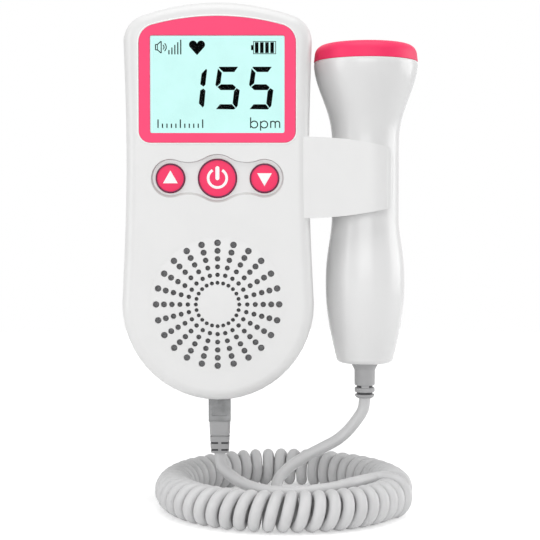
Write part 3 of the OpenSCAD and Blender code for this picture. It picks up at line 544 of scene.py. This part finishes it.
def make_lead(finish):
    """One line from plug to probe, cut into the two tails and the curls between them."""
    curls = curl(1.5, 341.0, -90.0)
    curls.reverse()
    main = smooth_line([*MAIN_ROUTE, *curls[:2]])
    probe = smooth_line([*curls[-2:], *reversed(PROBE_ROUTE)])
    line = [*main, *[Vector(p) for p in curls[2:-2]], *probe]
    first, last = len(main) - 1, len(main) + len(curls) - 4
    cuts = {"lead_tail_main": (0, first), "lead_curls": (first, last)}
    cuts["lead_tail_probe"] = (last, len(line) - 1)
    made = {}
    for name, cut in cuts.items():
        points, faces = tube_mesh(line, LEAD_R, 16, cut)
        made[name] = (piece(name, points, faces), [p * MM for p in line[cut[0] : cut[1] + 1]])
    return made


def dress_lead():
    made = make_lead(finishes["lead"])
    bodies = {"lead_tail_main": ("plug", "root"), "lead_tail_probe": ("probe", "root")}
    ends = {
        "lead_tail_main": ((0, -0.018, -0.0875), (0.0193, -0.0445, -0.0959)),
        "lead_tail_probe": ((0.05085, -0.018, -0.0683), (0.0271, -0.019, -0.0908))}
    for name, (obj, _) in made.items():
        settle(obj, finishes["lead"], None, 60, even=False)
        if name in bodies:
            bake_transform(obj, *bodies[name], start=ends[name][0], end=ends[name][1])
        else:
            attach(obj, "root")
    tail_main, curls, tail_probe = (made[n] for n in ("lead_tail_main", "lead_curls", "lead_tail_probe"))
    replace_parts(tail_main[0], "cord_tail_main")
    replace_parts(curls[0], "cord_coil")
    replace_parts(tail_probe[0], "cord_tail_probe")


# ---------------------------------------------------------------- the case


def round_tip(x, y, z):
    """Rounder corners at the free end of the probe holder, whose middle is at height 8.3."""
    start, radius, middle = 55.55, 3.2, 8.3
    if x < start:
        return x, y, z
    limit = 10.84 - radius + math.sqrt(max(radius**2 - (x - start) ** 2, 0))
    return x, y, middle + max(-limit, min(limit, z - middle))


def case_plastic():
    """Both shells, the probe holder and the battery door, from their CAD shapes."""
    for node, name in (("front_shell", "case_front"), ("rear_shell", "case_rear")):
        obj = settle(refined(node, name), finishes["case"], "root", 30)
        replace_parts(obj, node)
    holder = refined("probe_clip", "holder_arm", 0.7, 4, 50, round_tip)
    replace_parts(settle(holder, finishes["holder"], "root", 35), "probe_clip")
    door = refined("battery_door", "door_panel", 0.25, 2, 50)
    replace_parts(settle(door, finishes["case"], "door", 35), "battery_door")


def bezel_line(grow, steps=8):
    """Outline of the display surround, drawn out by grow millimetres."""
    low_r, high_r, crown = 3.8 + grow, 6.0 + grow, 83.0 + grow
    low_x, high_x = 26.2 + grow - low_r, 26.2 + grow - high_r
    low, crown_z = 19.9 - grow + low_r, 61.9 - 83.0
    high = crown_z + math.sqrt((crown - high_r) ** 2 - high_x**2)
    turn = math.degrees(math.atan2(high - crown_z, high_x))
    right = arc(low_x, low, low_r, -90, 0, steps) + arc(high_x, high, high_r, 0, turn, steps)
    crest = arc(0, crown_z, crown, turn, 180 - turn, 4 * steps)[1:-1]
    left = arc(-high_x, high, high_r, 180 - turn, 180, steps) + arc(-low_x, low, low_r, 180, 270, steps)
    return right + crest + left


def display():
    surround = refined("bezel", "display_surround", 0.2, 2, 50)
    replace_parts(settle(surround, finishes["bezel"], "root", 35), "bezel")
    # Pale bead round the surround: a real edge with a painted highlight
    edge = [(x, FRONT_Y, z) for x, z in bezel_line(0.25)]
    settle(ring("surround_edge", edge, 0.24), finishes["trim"], "root", 60, even=False)
    # Strips glowing in the display's light over the ledge inside the window: painted light where the ledge lies
    # in shade
    sides = [((way * 22.09, -34.375, 39.35), (0.58, 1.31, 32.26)) for way in (-1, 1)]
    sides += [((0, -34.375, z), (44.76, 1.31, 0.53)) for z in (23.485, 55.215)]
    for i, (middle, size) in enumerate(sides):
        rim = box(f"ledge_painted_light_{i}", middle, size)
        settle(rim, finishes["display"], "root", 35, even=False)
    paint_node("display_window", finishes["window"])
    paint_node("lcd_panel", finishes["display"])
    paint_node("lcd_backlight", finishes["guide"])
    paint_node("lcd_holder", finishes["inner"])
    marks = [*readout(), *battery_mark(), *level_mark(), *sound_mark(), *heart_mark()]
    marks += [*unit_mark(), *scale_mark()]
    made = slabs("display_marks", marks, -33.76, 0.05)
    settle(made, finishes["digits"], "root", 35, even=False)


FIVE = [
    [(1.16, 14.25), (7.43, 14.25), (6.16, 12.5), (2.5, 12.5), (0.96, 13.94)],
    [(0.65, 13.67), (2.0, 12.24), (1.54, 8.78), (0.27, 7.62), (-0.19, 8.2)],
    [(0.5, 7.5), (1.73, 8.39), (5.58, 8.39), (6.74, 7.43), (6.16, 6.47), (1.54, 6.47)],
    [(6.93, 7.12), (7.97, 6.47), (7.3, 1.27), (6.74, 0.5), (5.58, 2.04), (6.04, 6.08)],
    [(0, 0.1), (1.35, 1.73), (5.39, 1.73), (6.55, 0.39), (6.04, 0)]]
ONE = [
    [(7.53, 13.6), (7.84, 13.14), (7.26, 8.28), (6.64, 7.63), (5.53, 8.4), (5.99, 11.98)],
    [(6.57, 6.97), (7.3, 6.28), (6.84, 1.35), (6.37, 0.62), (5.06, 2.04), (5.53, 6.35)]]


def readout():
    """Three leaning digits of five or two bars each."""
    places = ((-11.33, ONE), (-0.53, FIVE), (10.76, FIVE))
    return [[(x + px, 31.13 + pz) for px, pz in bar] for x, bars in places for bar in bars]


def box_outline(x0, z0, x1, z1):
    return [(x0, z0), (x1, z0), (x1, z1), (x0, z1)]


def frame_outline(x0, z0, x1, z1, w):
    """Four bars round a box."""
    return [box_outline(x0, z0, x1, z0 + w), box_outline(x0, z1 - w, x1, z1),
        box_outline(x0, z0, x0 + w, z1), box_outline(x1 - w, z0, x1, z1)]


def battery_mark():
    bars = [box_outline(12.55 + 1.72 * i, 49.95, 13.75 + 1.72 * i, 53.55) for i in range(4)]
    return [box_outline(11.25, 50.9, 11.95, 52.6), *bars, *frame_outline(11.95, 49.6, 19.6, 53.9, 0.22)]


def level_mark():
    return [box_outline(-16.45 + 0.99 * i, 49.5, -16.05 + 0.99 * i, 50.95 + 0.86 * i) for i in range(5)]


def band(line, w):
    """Outline of a stroke of width w along a line of points."""
    sides = ([], [])
    for i, (x, z) in enumerate(line):
        before, after = line[max(i - 1, 0)], line[min(i + 1, len(line) - 1)]
        dx, dz = after[0] - before[0], after[1] - before[1]
        size = math.hypot(dx, dz)
        sides[0].append((x - dz / size * w / 2, z + dx / size * w / 2))
        sides[1].append((x + dz / size * w / 2, z - dx / size * w / 2))
    return sides[0] + sides[1][::-1]


def sound_mark():
    horn = [(-20.75, 51.0), (-20.75, 52.8), (-20.1, 52.8), (-18.85, 53.9), (-18.85, 49.9), (-20.1, 51.0)]
    strokes = [band(horn[i : i + 2], 0.33) for i in range(5)] + [band([horn[5], horn[0]], 0.33)]
    strokes.append(band([horn[2], horn[5]], 0.25))
    waves = [band(arc(-18.9, 51.9, r, -48, 48, 8), 0.33) for r in (1.0, 1.75)]
    return strokes + waves


def heart_mark():
    """A plain heart from two round lobes and a point."""
    lobe = 1.36
    right = arc(1.33, 0.0, lobe, -38, 180, 14)
    left = [(-x, z) for x, z in reversed(right)]
    outline = [(0.0, -3.5), *right[:-1], (0.0, 0.45), *left[1:]]
    return [[(-6.85 + x, 52.75 + z) for x, z in outline]]


def unit_mark():
    """Beats a minute: b, p and m in thin strokes."""
    w, x0 = 0.38, 11.1

    def bowl(x, z):
        return arc(x, z, 1.15, 150, -150, 16)

    def hump(x):
        return band([(x, 26.2), *arc(x + 0.75, 26.45, 0.75, 180, 0, 8), (x + 1.5, 24.95)], w)

    b = [band([(x0, 24.95), (x0, 28.5)], w), band(bowl(x0 + 1.2, 26.1), w)]
    p = [band([(x0 + 3.35, 24.05), (x0 + 3.35, 27.25)], w), band(bowl(x0 + 4.55, 26.1), w)]
    m = [band([(x0 + 6.75, 24.95), (x0 + 6.75, 27.25)], w), hump(x0 + 6.75), hump(x0 + 8.25)]
    return b + p + m


def scale_mark():
    """A plain row of ticks in the lower left corner, every fifth one taller."""
    ticks = []
    for i in range(11):
        top = 26.4 + (1.4 if i % 5 == 0 else 0)
        ticks.append(box_outline(-20.2 + 1.5 * i, 24.95, -19.8 + 1.5 * i, top))
    return ticks


KEY_X, KEY_Z = 15.75, 8.0
KEY_CROWN_Y = -35.9


def key_top(radius, r):
    """Depth of a key's crowned top at a distance from its middle."""
    low = min(1.0, r / (radius * 0.5)) * 0.05
    return KEY_CROWN_Y + low


def strips(line, w):
    """Four-sided pieces of a stroke of width w along a line of points."""
    edge = band(line, w)
    n = len(line)
    return [[edge[i], edge[i + 1], edge[2 * n - 2 - i], edge[2 * n - 1 - i]] for i in range(n - 1)]


def drape(name, outlines, x, radius, thick=0.03):
    """A print on a key's crowned top, from convex outlines about the key's middle."""
    shell = bmesh.new()
    for outline in outlines:
        shell.faces.new([shell.verts.new((px, 0, pz)) for px, pz in outline])
    bmesh.ops.triangulate(shell, faces=shell.faces)
    bmesh.ops.subdivide_edges(shell, edges=shell.edges, cuts=2, use_grid_fill=True)
    bmesh.ops.remove_doubles(shell, verts=shell.verts, dist=1e-4)
    for v in shell.verts:
        depth = key_top(radius, math.hypot(v.co.x, v.co.z)) - thick
        v.co = ((x + v.co.x) * MM, depth * MM, (KEY_Z + v.co.z) * MM)
    bmesh.ops.recalc_face_normals(shell, faces=shell.faces)
    if sum(f.normal.y for f in shell.faces) > 0:
        bmesh.ops.reverse_faces(shell, faces=shell.faces)
    return from_shell(shell, name)


def keys():
    large_r, small_r = 6.35, 4.75
    layout = ((0, large_r, 0, "power"), (-KEY_X, small_r, 1, "up"), (KEY_X, small_r, -1, "down"))
    for x, radius, way, body in layout:
        paint_node(f"{body}_button", finishes["keys"])
        paint_node(f"{body}_plunger", finishes["chip"])
        if way:
            base, tip = (-1.66, 2.66) if way > 0 else (1.71, -2.62)
            prints = {f"{body}_arrow": [[(-2.47, base), (2.47, base), (0, tip)]]}
        else:
            prints = {"power_ring": strips(arc(0, 0.05, 3.1, 121, 419, 40), 0.9),
                "power_bar": [[*arc(0, 3.4, 0.67, 0, 180, 10), *arc(0, 0.05, 0.67, 180, 360, 10)]]}
        for name, outlines in prints.items():
            mark = drape(name, outlines, x, radius)
            settle(mark, finishes["ink"], f"{body}_press", 60, even=False)
        # Dark bead on each key's edge: painted shade of the gap round the key
        edge = [(px, -35.86, pz) for px, pz in arc(x, KEY_Z, radius - 0.09, 0, 360, 72)[:-1]]
        dark = ring(f"{body}_edge", edge, 0.17)
        settle(dark, finishes["key_gap_shade"], f"{body}_press", 60, even=False)


def recess_line(inset):
    """Outline of the recess round the keys, drawn in by a distance that depends on which way it faces."""
    spots = [(KEY_X, 0, 6.5, a) for a in range(0, 110, 5)]
    spots += [(9.795, 16.456, -11.0, 109.9 - 5.07 * i) for i in range(11)]
    spots += [(0, 0, 8.15, a) for a in range(60, 91, 5)]
    line = []
    for x, z, r, a in spots:
        u, v = math.cos(math.radians(a)), math.sin(math.radians(a))
        line.append((x + r * u, z + r * v, u, v))
    line += [(-x, z, -u, v) for x, z, u, v in reversed(line[:-1])]
    line += [(x, -z, u, -v) for x, z, u, v in reversed(line[1:-1])]
    return [(x - inset(v) * u, z - inset(v) * v) for x, z, u, v in line]


def recess():
    """Sloping wall of the recess, steep above and wide below, with painted shade: a darker grey on the upper
    wall and a lighter grey on the lower one.
    """
    top, foot = recess_line(lambda v: 0.0), recess_line(lambda v: 0.55 - 0.27 * v)
    points, faces = [], ([], [])
    for (x0, z0), (x1, z1) in zip(top, foot):
        points += [(x0, FRONT_Y + 0.01, z0 + KEY_Z), (x1, FRONT_Y + 0.81, z1 + KEY_Z)]
        points.append((x0, FRONT_Y + 0.85, z0 + KEY_Z))
    for i in range(len(top)):
        j = (i + 1) % len(top)
        below = top[i][1] + top[j][1] < -4
        for k in range(3):
            m = (k + 1) % 3
            faces[below].append((3 * i + k, 3 * j + k, 3 * j + m, 3 * i + m))
    # Both walls are painted shade: darker grey above, the grey inner plastic below
    walls = (("recess_wall_high", faces[0], "recess"), ("recess_wall_low", faces[1], "inner"))
    for name, part, finish in walls:
        wall = settle(piece(name, points, part), finishes[finish], "root", 35, even=False)
        shell = bmesh.new()
        shell.from_mesh(wall.data)
        bmesh.ops.delete(shell, geom=[v for v in shell.verts if not v.link_faces], context="VERTS")
        shell.to_mesh(wall.data)
        shell.free()


def inner_parts():
    """The pieces that stay as their CAD solids, each with its own finish."""
    finish_of = {
        "main_board": "board", "board_chips": "chip", "board_screws": "steel", "tact_switches": "chip",
        "speaker_gasket": "foam", "speaker_frame": "steel", "speaker_cone": "paper", "speaker_magnet": "magnet",
        "battery_1": "cell", "battery_2": "cell", "battery_springs": "steel", "battery_contacts": "brass",
        "case_screws": "steel", "lead_jack": "jack", "plug_contacts": "brass", "plug_body": "plug",
        "plug_latch": "plug", "transducer_crystals": "crystal", "transducer_backing": "foam",
        "probe_board": "board"}
    for node, finish in finish_of.items():
        paint_node(node, finishes[finish])


GRILLE_Z = -34.3
GRILLE_ROWS, GRILLE_RINGS = 24, 6
DOME_R, OUTER_ROW_R, DISC_R = 22.35, 20.7, 23.06


def grille_depth(r):
    """Depth of the grille's gently domed face, which is level with the case from its rim on."""
    rise = 0.62
    return FRONT_Y - rise * max(1 - (r / DOME_R) ** 2, 0)


def grille():
    """Domed disc with rows of holes that grow towards its rim, one patch of faces round each hole."""
    shell = bmesh.new()

    def spot(r, a, back=None):
        depth = grille_depth(r) if back is None else back
        return shell.verts.new((r * math.cos(a) * MM, depth * MM, (GRILLE_Z + r * math.sin(a)) * MM))

    step, half_turn, sides = 2.68, math.pi / GRILLE_ROWS, 24
    for i in range(GRILLE_ROWS):
        for k in range(GRILLE_RINGS):
            r0, a0 = OUTER_ROW_R - step * k, 2 * half_turn * i
            hole = 1.1 * (1 - 0.08 * k)
            rims = ([], [], [], [])
            for n in range(sides):
                b = 2 * math.pi * n / sides
                u, v = math.cos(b), math.sin(b)
                reach = max(abs(u), abs(v))
                rims[0].append(spot(r0 + step / 2 * u / reach, a0 + half_turn * v / reach))
                for rim, grow, back in ((1, 1.12, None), (2, 1.0, 0.12), (3, 1.0, 1.2)):
                    x, z = r0 + grow * hole * u, grow * hole * v
                    r, a = math.hypot(x, z), a0 + math.atan2(z, x)
                    rims[rim].append(spot(r, a, None if back is None else grille_depth(r) + back))
            for outer, inner in zip(rims, rims[1:]):
                for n in range(sides):
                    m = (n + 1) % sides
                    shell.faces.new((outer[n], outer[m], inner[m], inner[n]))
    spread = []
    for n in range(GRILLE_ROWS * 6):
        turn, share = divmod(n, 6)
        b = math.radians(15 * share - 45)
        spread.append(2 * half_turn * turn + half_turn * math.tan(b))
    edge_r = OUTER_ROW_R + step / 2
    rings = [(5.96, 4.5, 3, 1.5), (edge_r, DOME_R, 22.6, DISC_R)]
    for radii in rings:
        loops = [[spot(r, a) for a in spread] for r in radii]
        if radii[0] > 10:
            loops.append([spot(DISC_R, a, -34.8) for a in spread])
        else:
            loops.append([spot(0, 0)] * len(spread))
        for outer, inner in zip(loops, loops[1:]):
            for n in range(len(spread)):
                m = (n + 1) % len(spread)
                corners = (outer[n], outer[m], inner[m], inner[n])
                shell.faces.new(corners[:3] if inner[m] is inner[n] else corners)
    bmesh.ops.remove_doubles(shell, verts=shell.verts, dist=2e-6)
    bmesh.ops.recalc_face_normals(shell, faces=shell.faces)
    if sum(f.normal.y * f.calc_area() for f in shell.faces) > 0:
        bmesh.ops.reverse_faces(shell, faces=shell.faces)
    disc = from_shell(shell, "grille_disc")
    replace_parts(settle(disc, finishes["case"], "root", 35), "speaker_grille")
    cloth = lathe("grille_cloth", [(0, 0), (21.7, 0), (21.7, 0.25), (0, 0.25)], (0, 0), steps=96)
    cloth.rotation_euler = (math.radians(90), 0, 0)
    cloth.location = (0, -34.55 * MM, GRILLE_Z * MM)
    settle(cloth, finishes["cloth"], "root", 35, even=False)


# ---------------------------------------------------------------- the probe

NECK_LOW, NECK_HIGH, FOOT_Z, SEAM_Z, CAP_TOP = -5.0, 21.0, -55.8, 48.5, 55.7


def ease(s):
    return (1 - math.cos(math.pi * s)) / 2


def probe_radius(z):
    """The foot, grip, neck and head flow into each other."""
    neck, grip, head, foot = 11.65, 13.72, 18.0, 10.05
    grip_z = NECK_LOW - 23.5
    if z < grip_z:
        share = max((z - FOOT_Z - 2) / (grip_z - FOOT_Z - 2), 0)
        return foot + (grip - foot) * math.sin(math.pi / 2 * share**0.92)
    if z < NECK_LOW:
        return grip + (neck - grip) * ease(((z - grip_z) / (NECK_LOW - grip_z)) ** 1.3)
    if z < NECK_HIGH:
        return neck
    return neck + (head - neck) * ease(min((z - NECK_HIGH) / 27.5, 1) ** 1.12)


def probe():
    heights = [FOOT_Z + 2 + (SEAM_Z - FOOT_Z - 2) * i / 110 for i in range(111)]
    foot = [(3.6, FOOT_Z), *arc(8.05, FOOT_Z + 2, 2.0, -90, 0, 8)[:-1]]
    outside = foot + [(probe_radius(z), z) for z in heights[:-1]] + [(17.85, SEAM_Z - 0.12), (17.75, SEAM_Z)]
    wall = 1.8
    inside = [(probe_radius(z) - wall, z) for z in heights[::-5]] + [(3.6, FOOT_Z + wall)]
    halves = (("probe_half_front", "probe_shell_front", 180), ("probe_half_rear", "probe_shell_rear", 0))
    for name, node, start in halves:
        half = lathe(name, outside + inside, (PROBE_X, SPLIT_Y), (start, 180), 96)
        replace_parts(settle(half, finishes["probe"], "probe", 40), node)
    edge_x, edge_r, sag = 14.15, 3.6, 1.15
    edge_z = CAP_TOP - sag - edge_r
    dome = (edge_x**2 + sag**2) / (2 * sag)
    rim = [(14.6, 44.5), (16.1, 44.5), (16.1, 48.7), (17.85, 48.7), (18.0, 48.85)]
    rim += [(r, z) for r, z in arc(edge_x, edge_z, edge_r, 6, 85, 16)]
    rim += [(x, CAP_TOP - dome + math.sqrt(dome**2 - x**2)) for x in [edge_x * (1 - i / 14) for i in range(15)]]
    rim += [(0, 52.9), (13.0, 52.9), (14.6, 50.4)]
    cap = lathe("probe_face", rim, (PROBE_X, SPLIT_Y), steps=144)
    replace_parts(settle(cap, finishes["cap"], "probe", 35), "probe_cap")
    # Pale bead under the cap at the seam: a painted highlight on the body's top edge
    bead = arc(17.72, 48.45, 0.2, 0, 330, 11)
    line = lathe("probe_seam_highlight", bead, (PROBE_X, SPLIT_Y), steps=144)
    settle(line, finishes["trim"], "probe", 60, even=False)


def strain_relief():
    """Flared collar and sleeve with two slots whose floors are painted near-black as shade, the upper one
    bridged at its front and back.
    """
    top, end = -53.9, -68.3
    profile = [
        (0, top + 1.5), (5.0, top + 1.5), (5.0, top), (3.5, top), (3.5, FOOT_Z + 0.1), (4.75, FOOT_Z - 0.15),
        (4.75, FOOT_Z - 0.45), (4.3, FOOT_Z - 1.3), (3.75, FOOT_Z - 2.3), (3.6, FOOT_Z - 2.7), (3.55, -63.5),
        (3.4, -63.8), (2.6, -63.9), (2.6, -64.6), (3.35, -64.7), (3.5, -64.9), (3.5, -66.0), (3.35, -66.2),
        (2.6, -66.3), (2.6, -67.0), (3.35, -67.1), (3.4, -67.5), (3.0, -68.1), (2.6, end), (0, end)]
    sleeve = lathe("relief_sleeve", profile, (PROBE_X, SPLIT_Y), steps=72)
    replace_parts(settle(sleeve, finishes["rubber"], "probe", 35), "probe_relief")
    # Near-black rings in the slot floors: painted shade
    for name, z in (("relief_slot_upper", -64.25), ("relief_slot_lower", -66.65)):
        groove = box_outline(2.4, z - 0.33, 2.75, z + 0.33)
        dark = lathe(name, groove, (PROBE_X, SPLIT_Y), steps=48)
        settle(dark, finishes["jack"], "probe", 35, even=False)
    for way, name in ((-1, "relief_bridge_front"), (1, "relief_bridge_back")):
        bar = box(name, (PROBE_X, SPLIT_Y + way * 2.75, -64.25), (2.6, 1.3, 0.8))
        settle(bar, finishes["rubber"], "probe", 35, even=False)


def plug_parts():
    """The boot with its grooves set lower, and near-black blocks painted as shade in two of its slots, with a
    bridge each.
    """
    drop, grooves_low, grooves_high = 1.3, -86.2, -79.2

    def lower(x, y, z):
        return x, y, z - (drop if grooves_low < z < grooves_high else 0)

    boot = refined("plug_boot", "boot_ribs", reshape=lower)
    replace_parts(settle(boot, finishes["rubber"], "plug", 35), "plug_boot")
    for i in range(2):
        z, w = -85.1 - drop + 2.45 * i, 5.5 + 0.3 * i
        # Near-black block in each slot: painted shade
        dark = box(f"boot_slot_{i}", (0, SPLIT_Y, z), (w, 4.6 + 0.2 * i, 0.74))
        settle(dark, finishes["jack"], "plug", 35, even=False)
        bar = box(f"boot_bridge_{i}", (0, SPLIT_Y - 2.3 - 0.1 * i, z), (1.1, 0.5, 0.72))
        settle(bar, finishes["rubber"], "plug", 35, even=False)


# ---------------------------------------------------------------- surroundings


def area_light(name, place, aim, size, power):
    lamp = bpy.data.lights.new(name, "AREA")
    lamp.shape = "RECTANGLE"
    lamp.size, lamp.size_y = size
    lamp.energy = power
    obj = bpy.data.objects.new(name, lamp)
    obj.location = place
    obj.rotation_euler = (Vector(aim) - Vector(place)).to_track_quat("-Z", "Y").to_euler()
    bpy.context.scene.collection.objects.link(obj)


def direct_view(tree):
    """One where the camera, a gloss or a clear piece sees a surface, and else zero."""
    path = tree.nodes.new("ShaderNodeLightPath")
    seen = path.outputs["Is Camera Ray"]
    for kind in ("Is Glossy Ray", "Is Transmission Ray"):
        either = tree.nodes.new("ShaderNodeMath")
        either.operation = "MAXIMUM"
        tree.links.new(seen, either.inputs[0])
        tree.links.new(path.outputs[kind], either.inputs[1])
        seen = either.outputs[0]
    return seen


def studio():
    """White surroundings, four soft lamps and a pale floor that fades into the white."""
    world = bpy.data.worlds.new("studio_white")
    world.use_nodes = True
    bpy.context.scene.world = world
    tree = world.node_tree
    plain = tree.nodes["Background"]
    plain.inputs["Strength"].default_value = 0.34
    white = tree.nodes.new("ShaderNodeBackground")
    white.inputs["Strength"].default_value = 1.0
    white.inputs["Color"].default_value = (1, 1, 1, 1)
    plain.inputs["Color"].default_value = (1, 1, 1, 1)
    mix = tree.nodes.new("ShaderNodeMixShader")
    tree.links.new(direct_view(tree), mix.inputs[0])
    tree.links.new(plain.outputs[0], mix.inputs[1])
    tree.links.new(white.outputs[0], mix.inputs[2])
    tree.links.new(mix.outputs[0], tree.nodes["World Output"].inputs[0])

    area_light("front_card", (-0.05, -1.5, 0.30), (0.0, 0, 0.0), (1.1, 0.66), 6.6)
    area_light("top_lamp", (0.05, -0.25, 0.9), (0.02, -0.02, 0), (0.8, 0.8), 5)
    area_light("left_lamp", (-1.0, -0.5, 0.2), (0.03, 0, 0), (0.5, 0.8), 3)
    area_light("right_lamp", (0.95, 0.15, 0.15), (0.03, 0, 0), (0.7, 0.5), 3)

    floor_finish = Finish("floor_white", (0.93, 0.93, 0.93), 0.9, sockets=NO_GLOSS)
    place = floor_finish.place()
    away = floor_finish.add("ShaderNodeVectorMath", {"operation": "LENGTH"}, {0: place}, out="Value")
    floor_finish.set({"Alpha": away.ramp(0.22, 0.6, 1.0, 0.0)})
    tree = floor_finish.tree
    glow, both, mix = (tree.nodes.new(f"ShaderNode{kind}") for kind in ("Emission", "AddShader", "MixShader"))
    glow.inputs["Strength"].default_value = 0.42
    tree.links.new(floor_finish.surface.outputs[0], both.inputs[0])
    tree.links.new(glow.outputs[0], both.inputs[1])
    tree.links.new(direct_view(tree), mix.inputs[0])
    tree.links.new(floor_finish.surface.outputs[0], mix.inputs[1])
    tree.links.new(both.outputs[0], mix.inputs[2])
    tree.links.new(mix.outputs[0], tree.nodes["Material Output"].inputs[0])
    shell = bmesh.new()
    bmesh.ops.create_circle(shell, cap_ends=True, segments=96, radius=0.7)
    floor = from_shell(shell, "floor")
    floor.location = (0.02, -0.02, FLOOR_Z * MM)
    paint(floor, floor_finish)


# ---------------------------------------------------------------- the whole

set_camera()
bpy.context.scene.view_settings.view_transform = "Standard"
finishes = make_finishes()
dress_lead()
case_plastic()
display()
keys()
recess()
grille()
probe()
strain_relief()
plug_parts()
inner_parts()
studio()
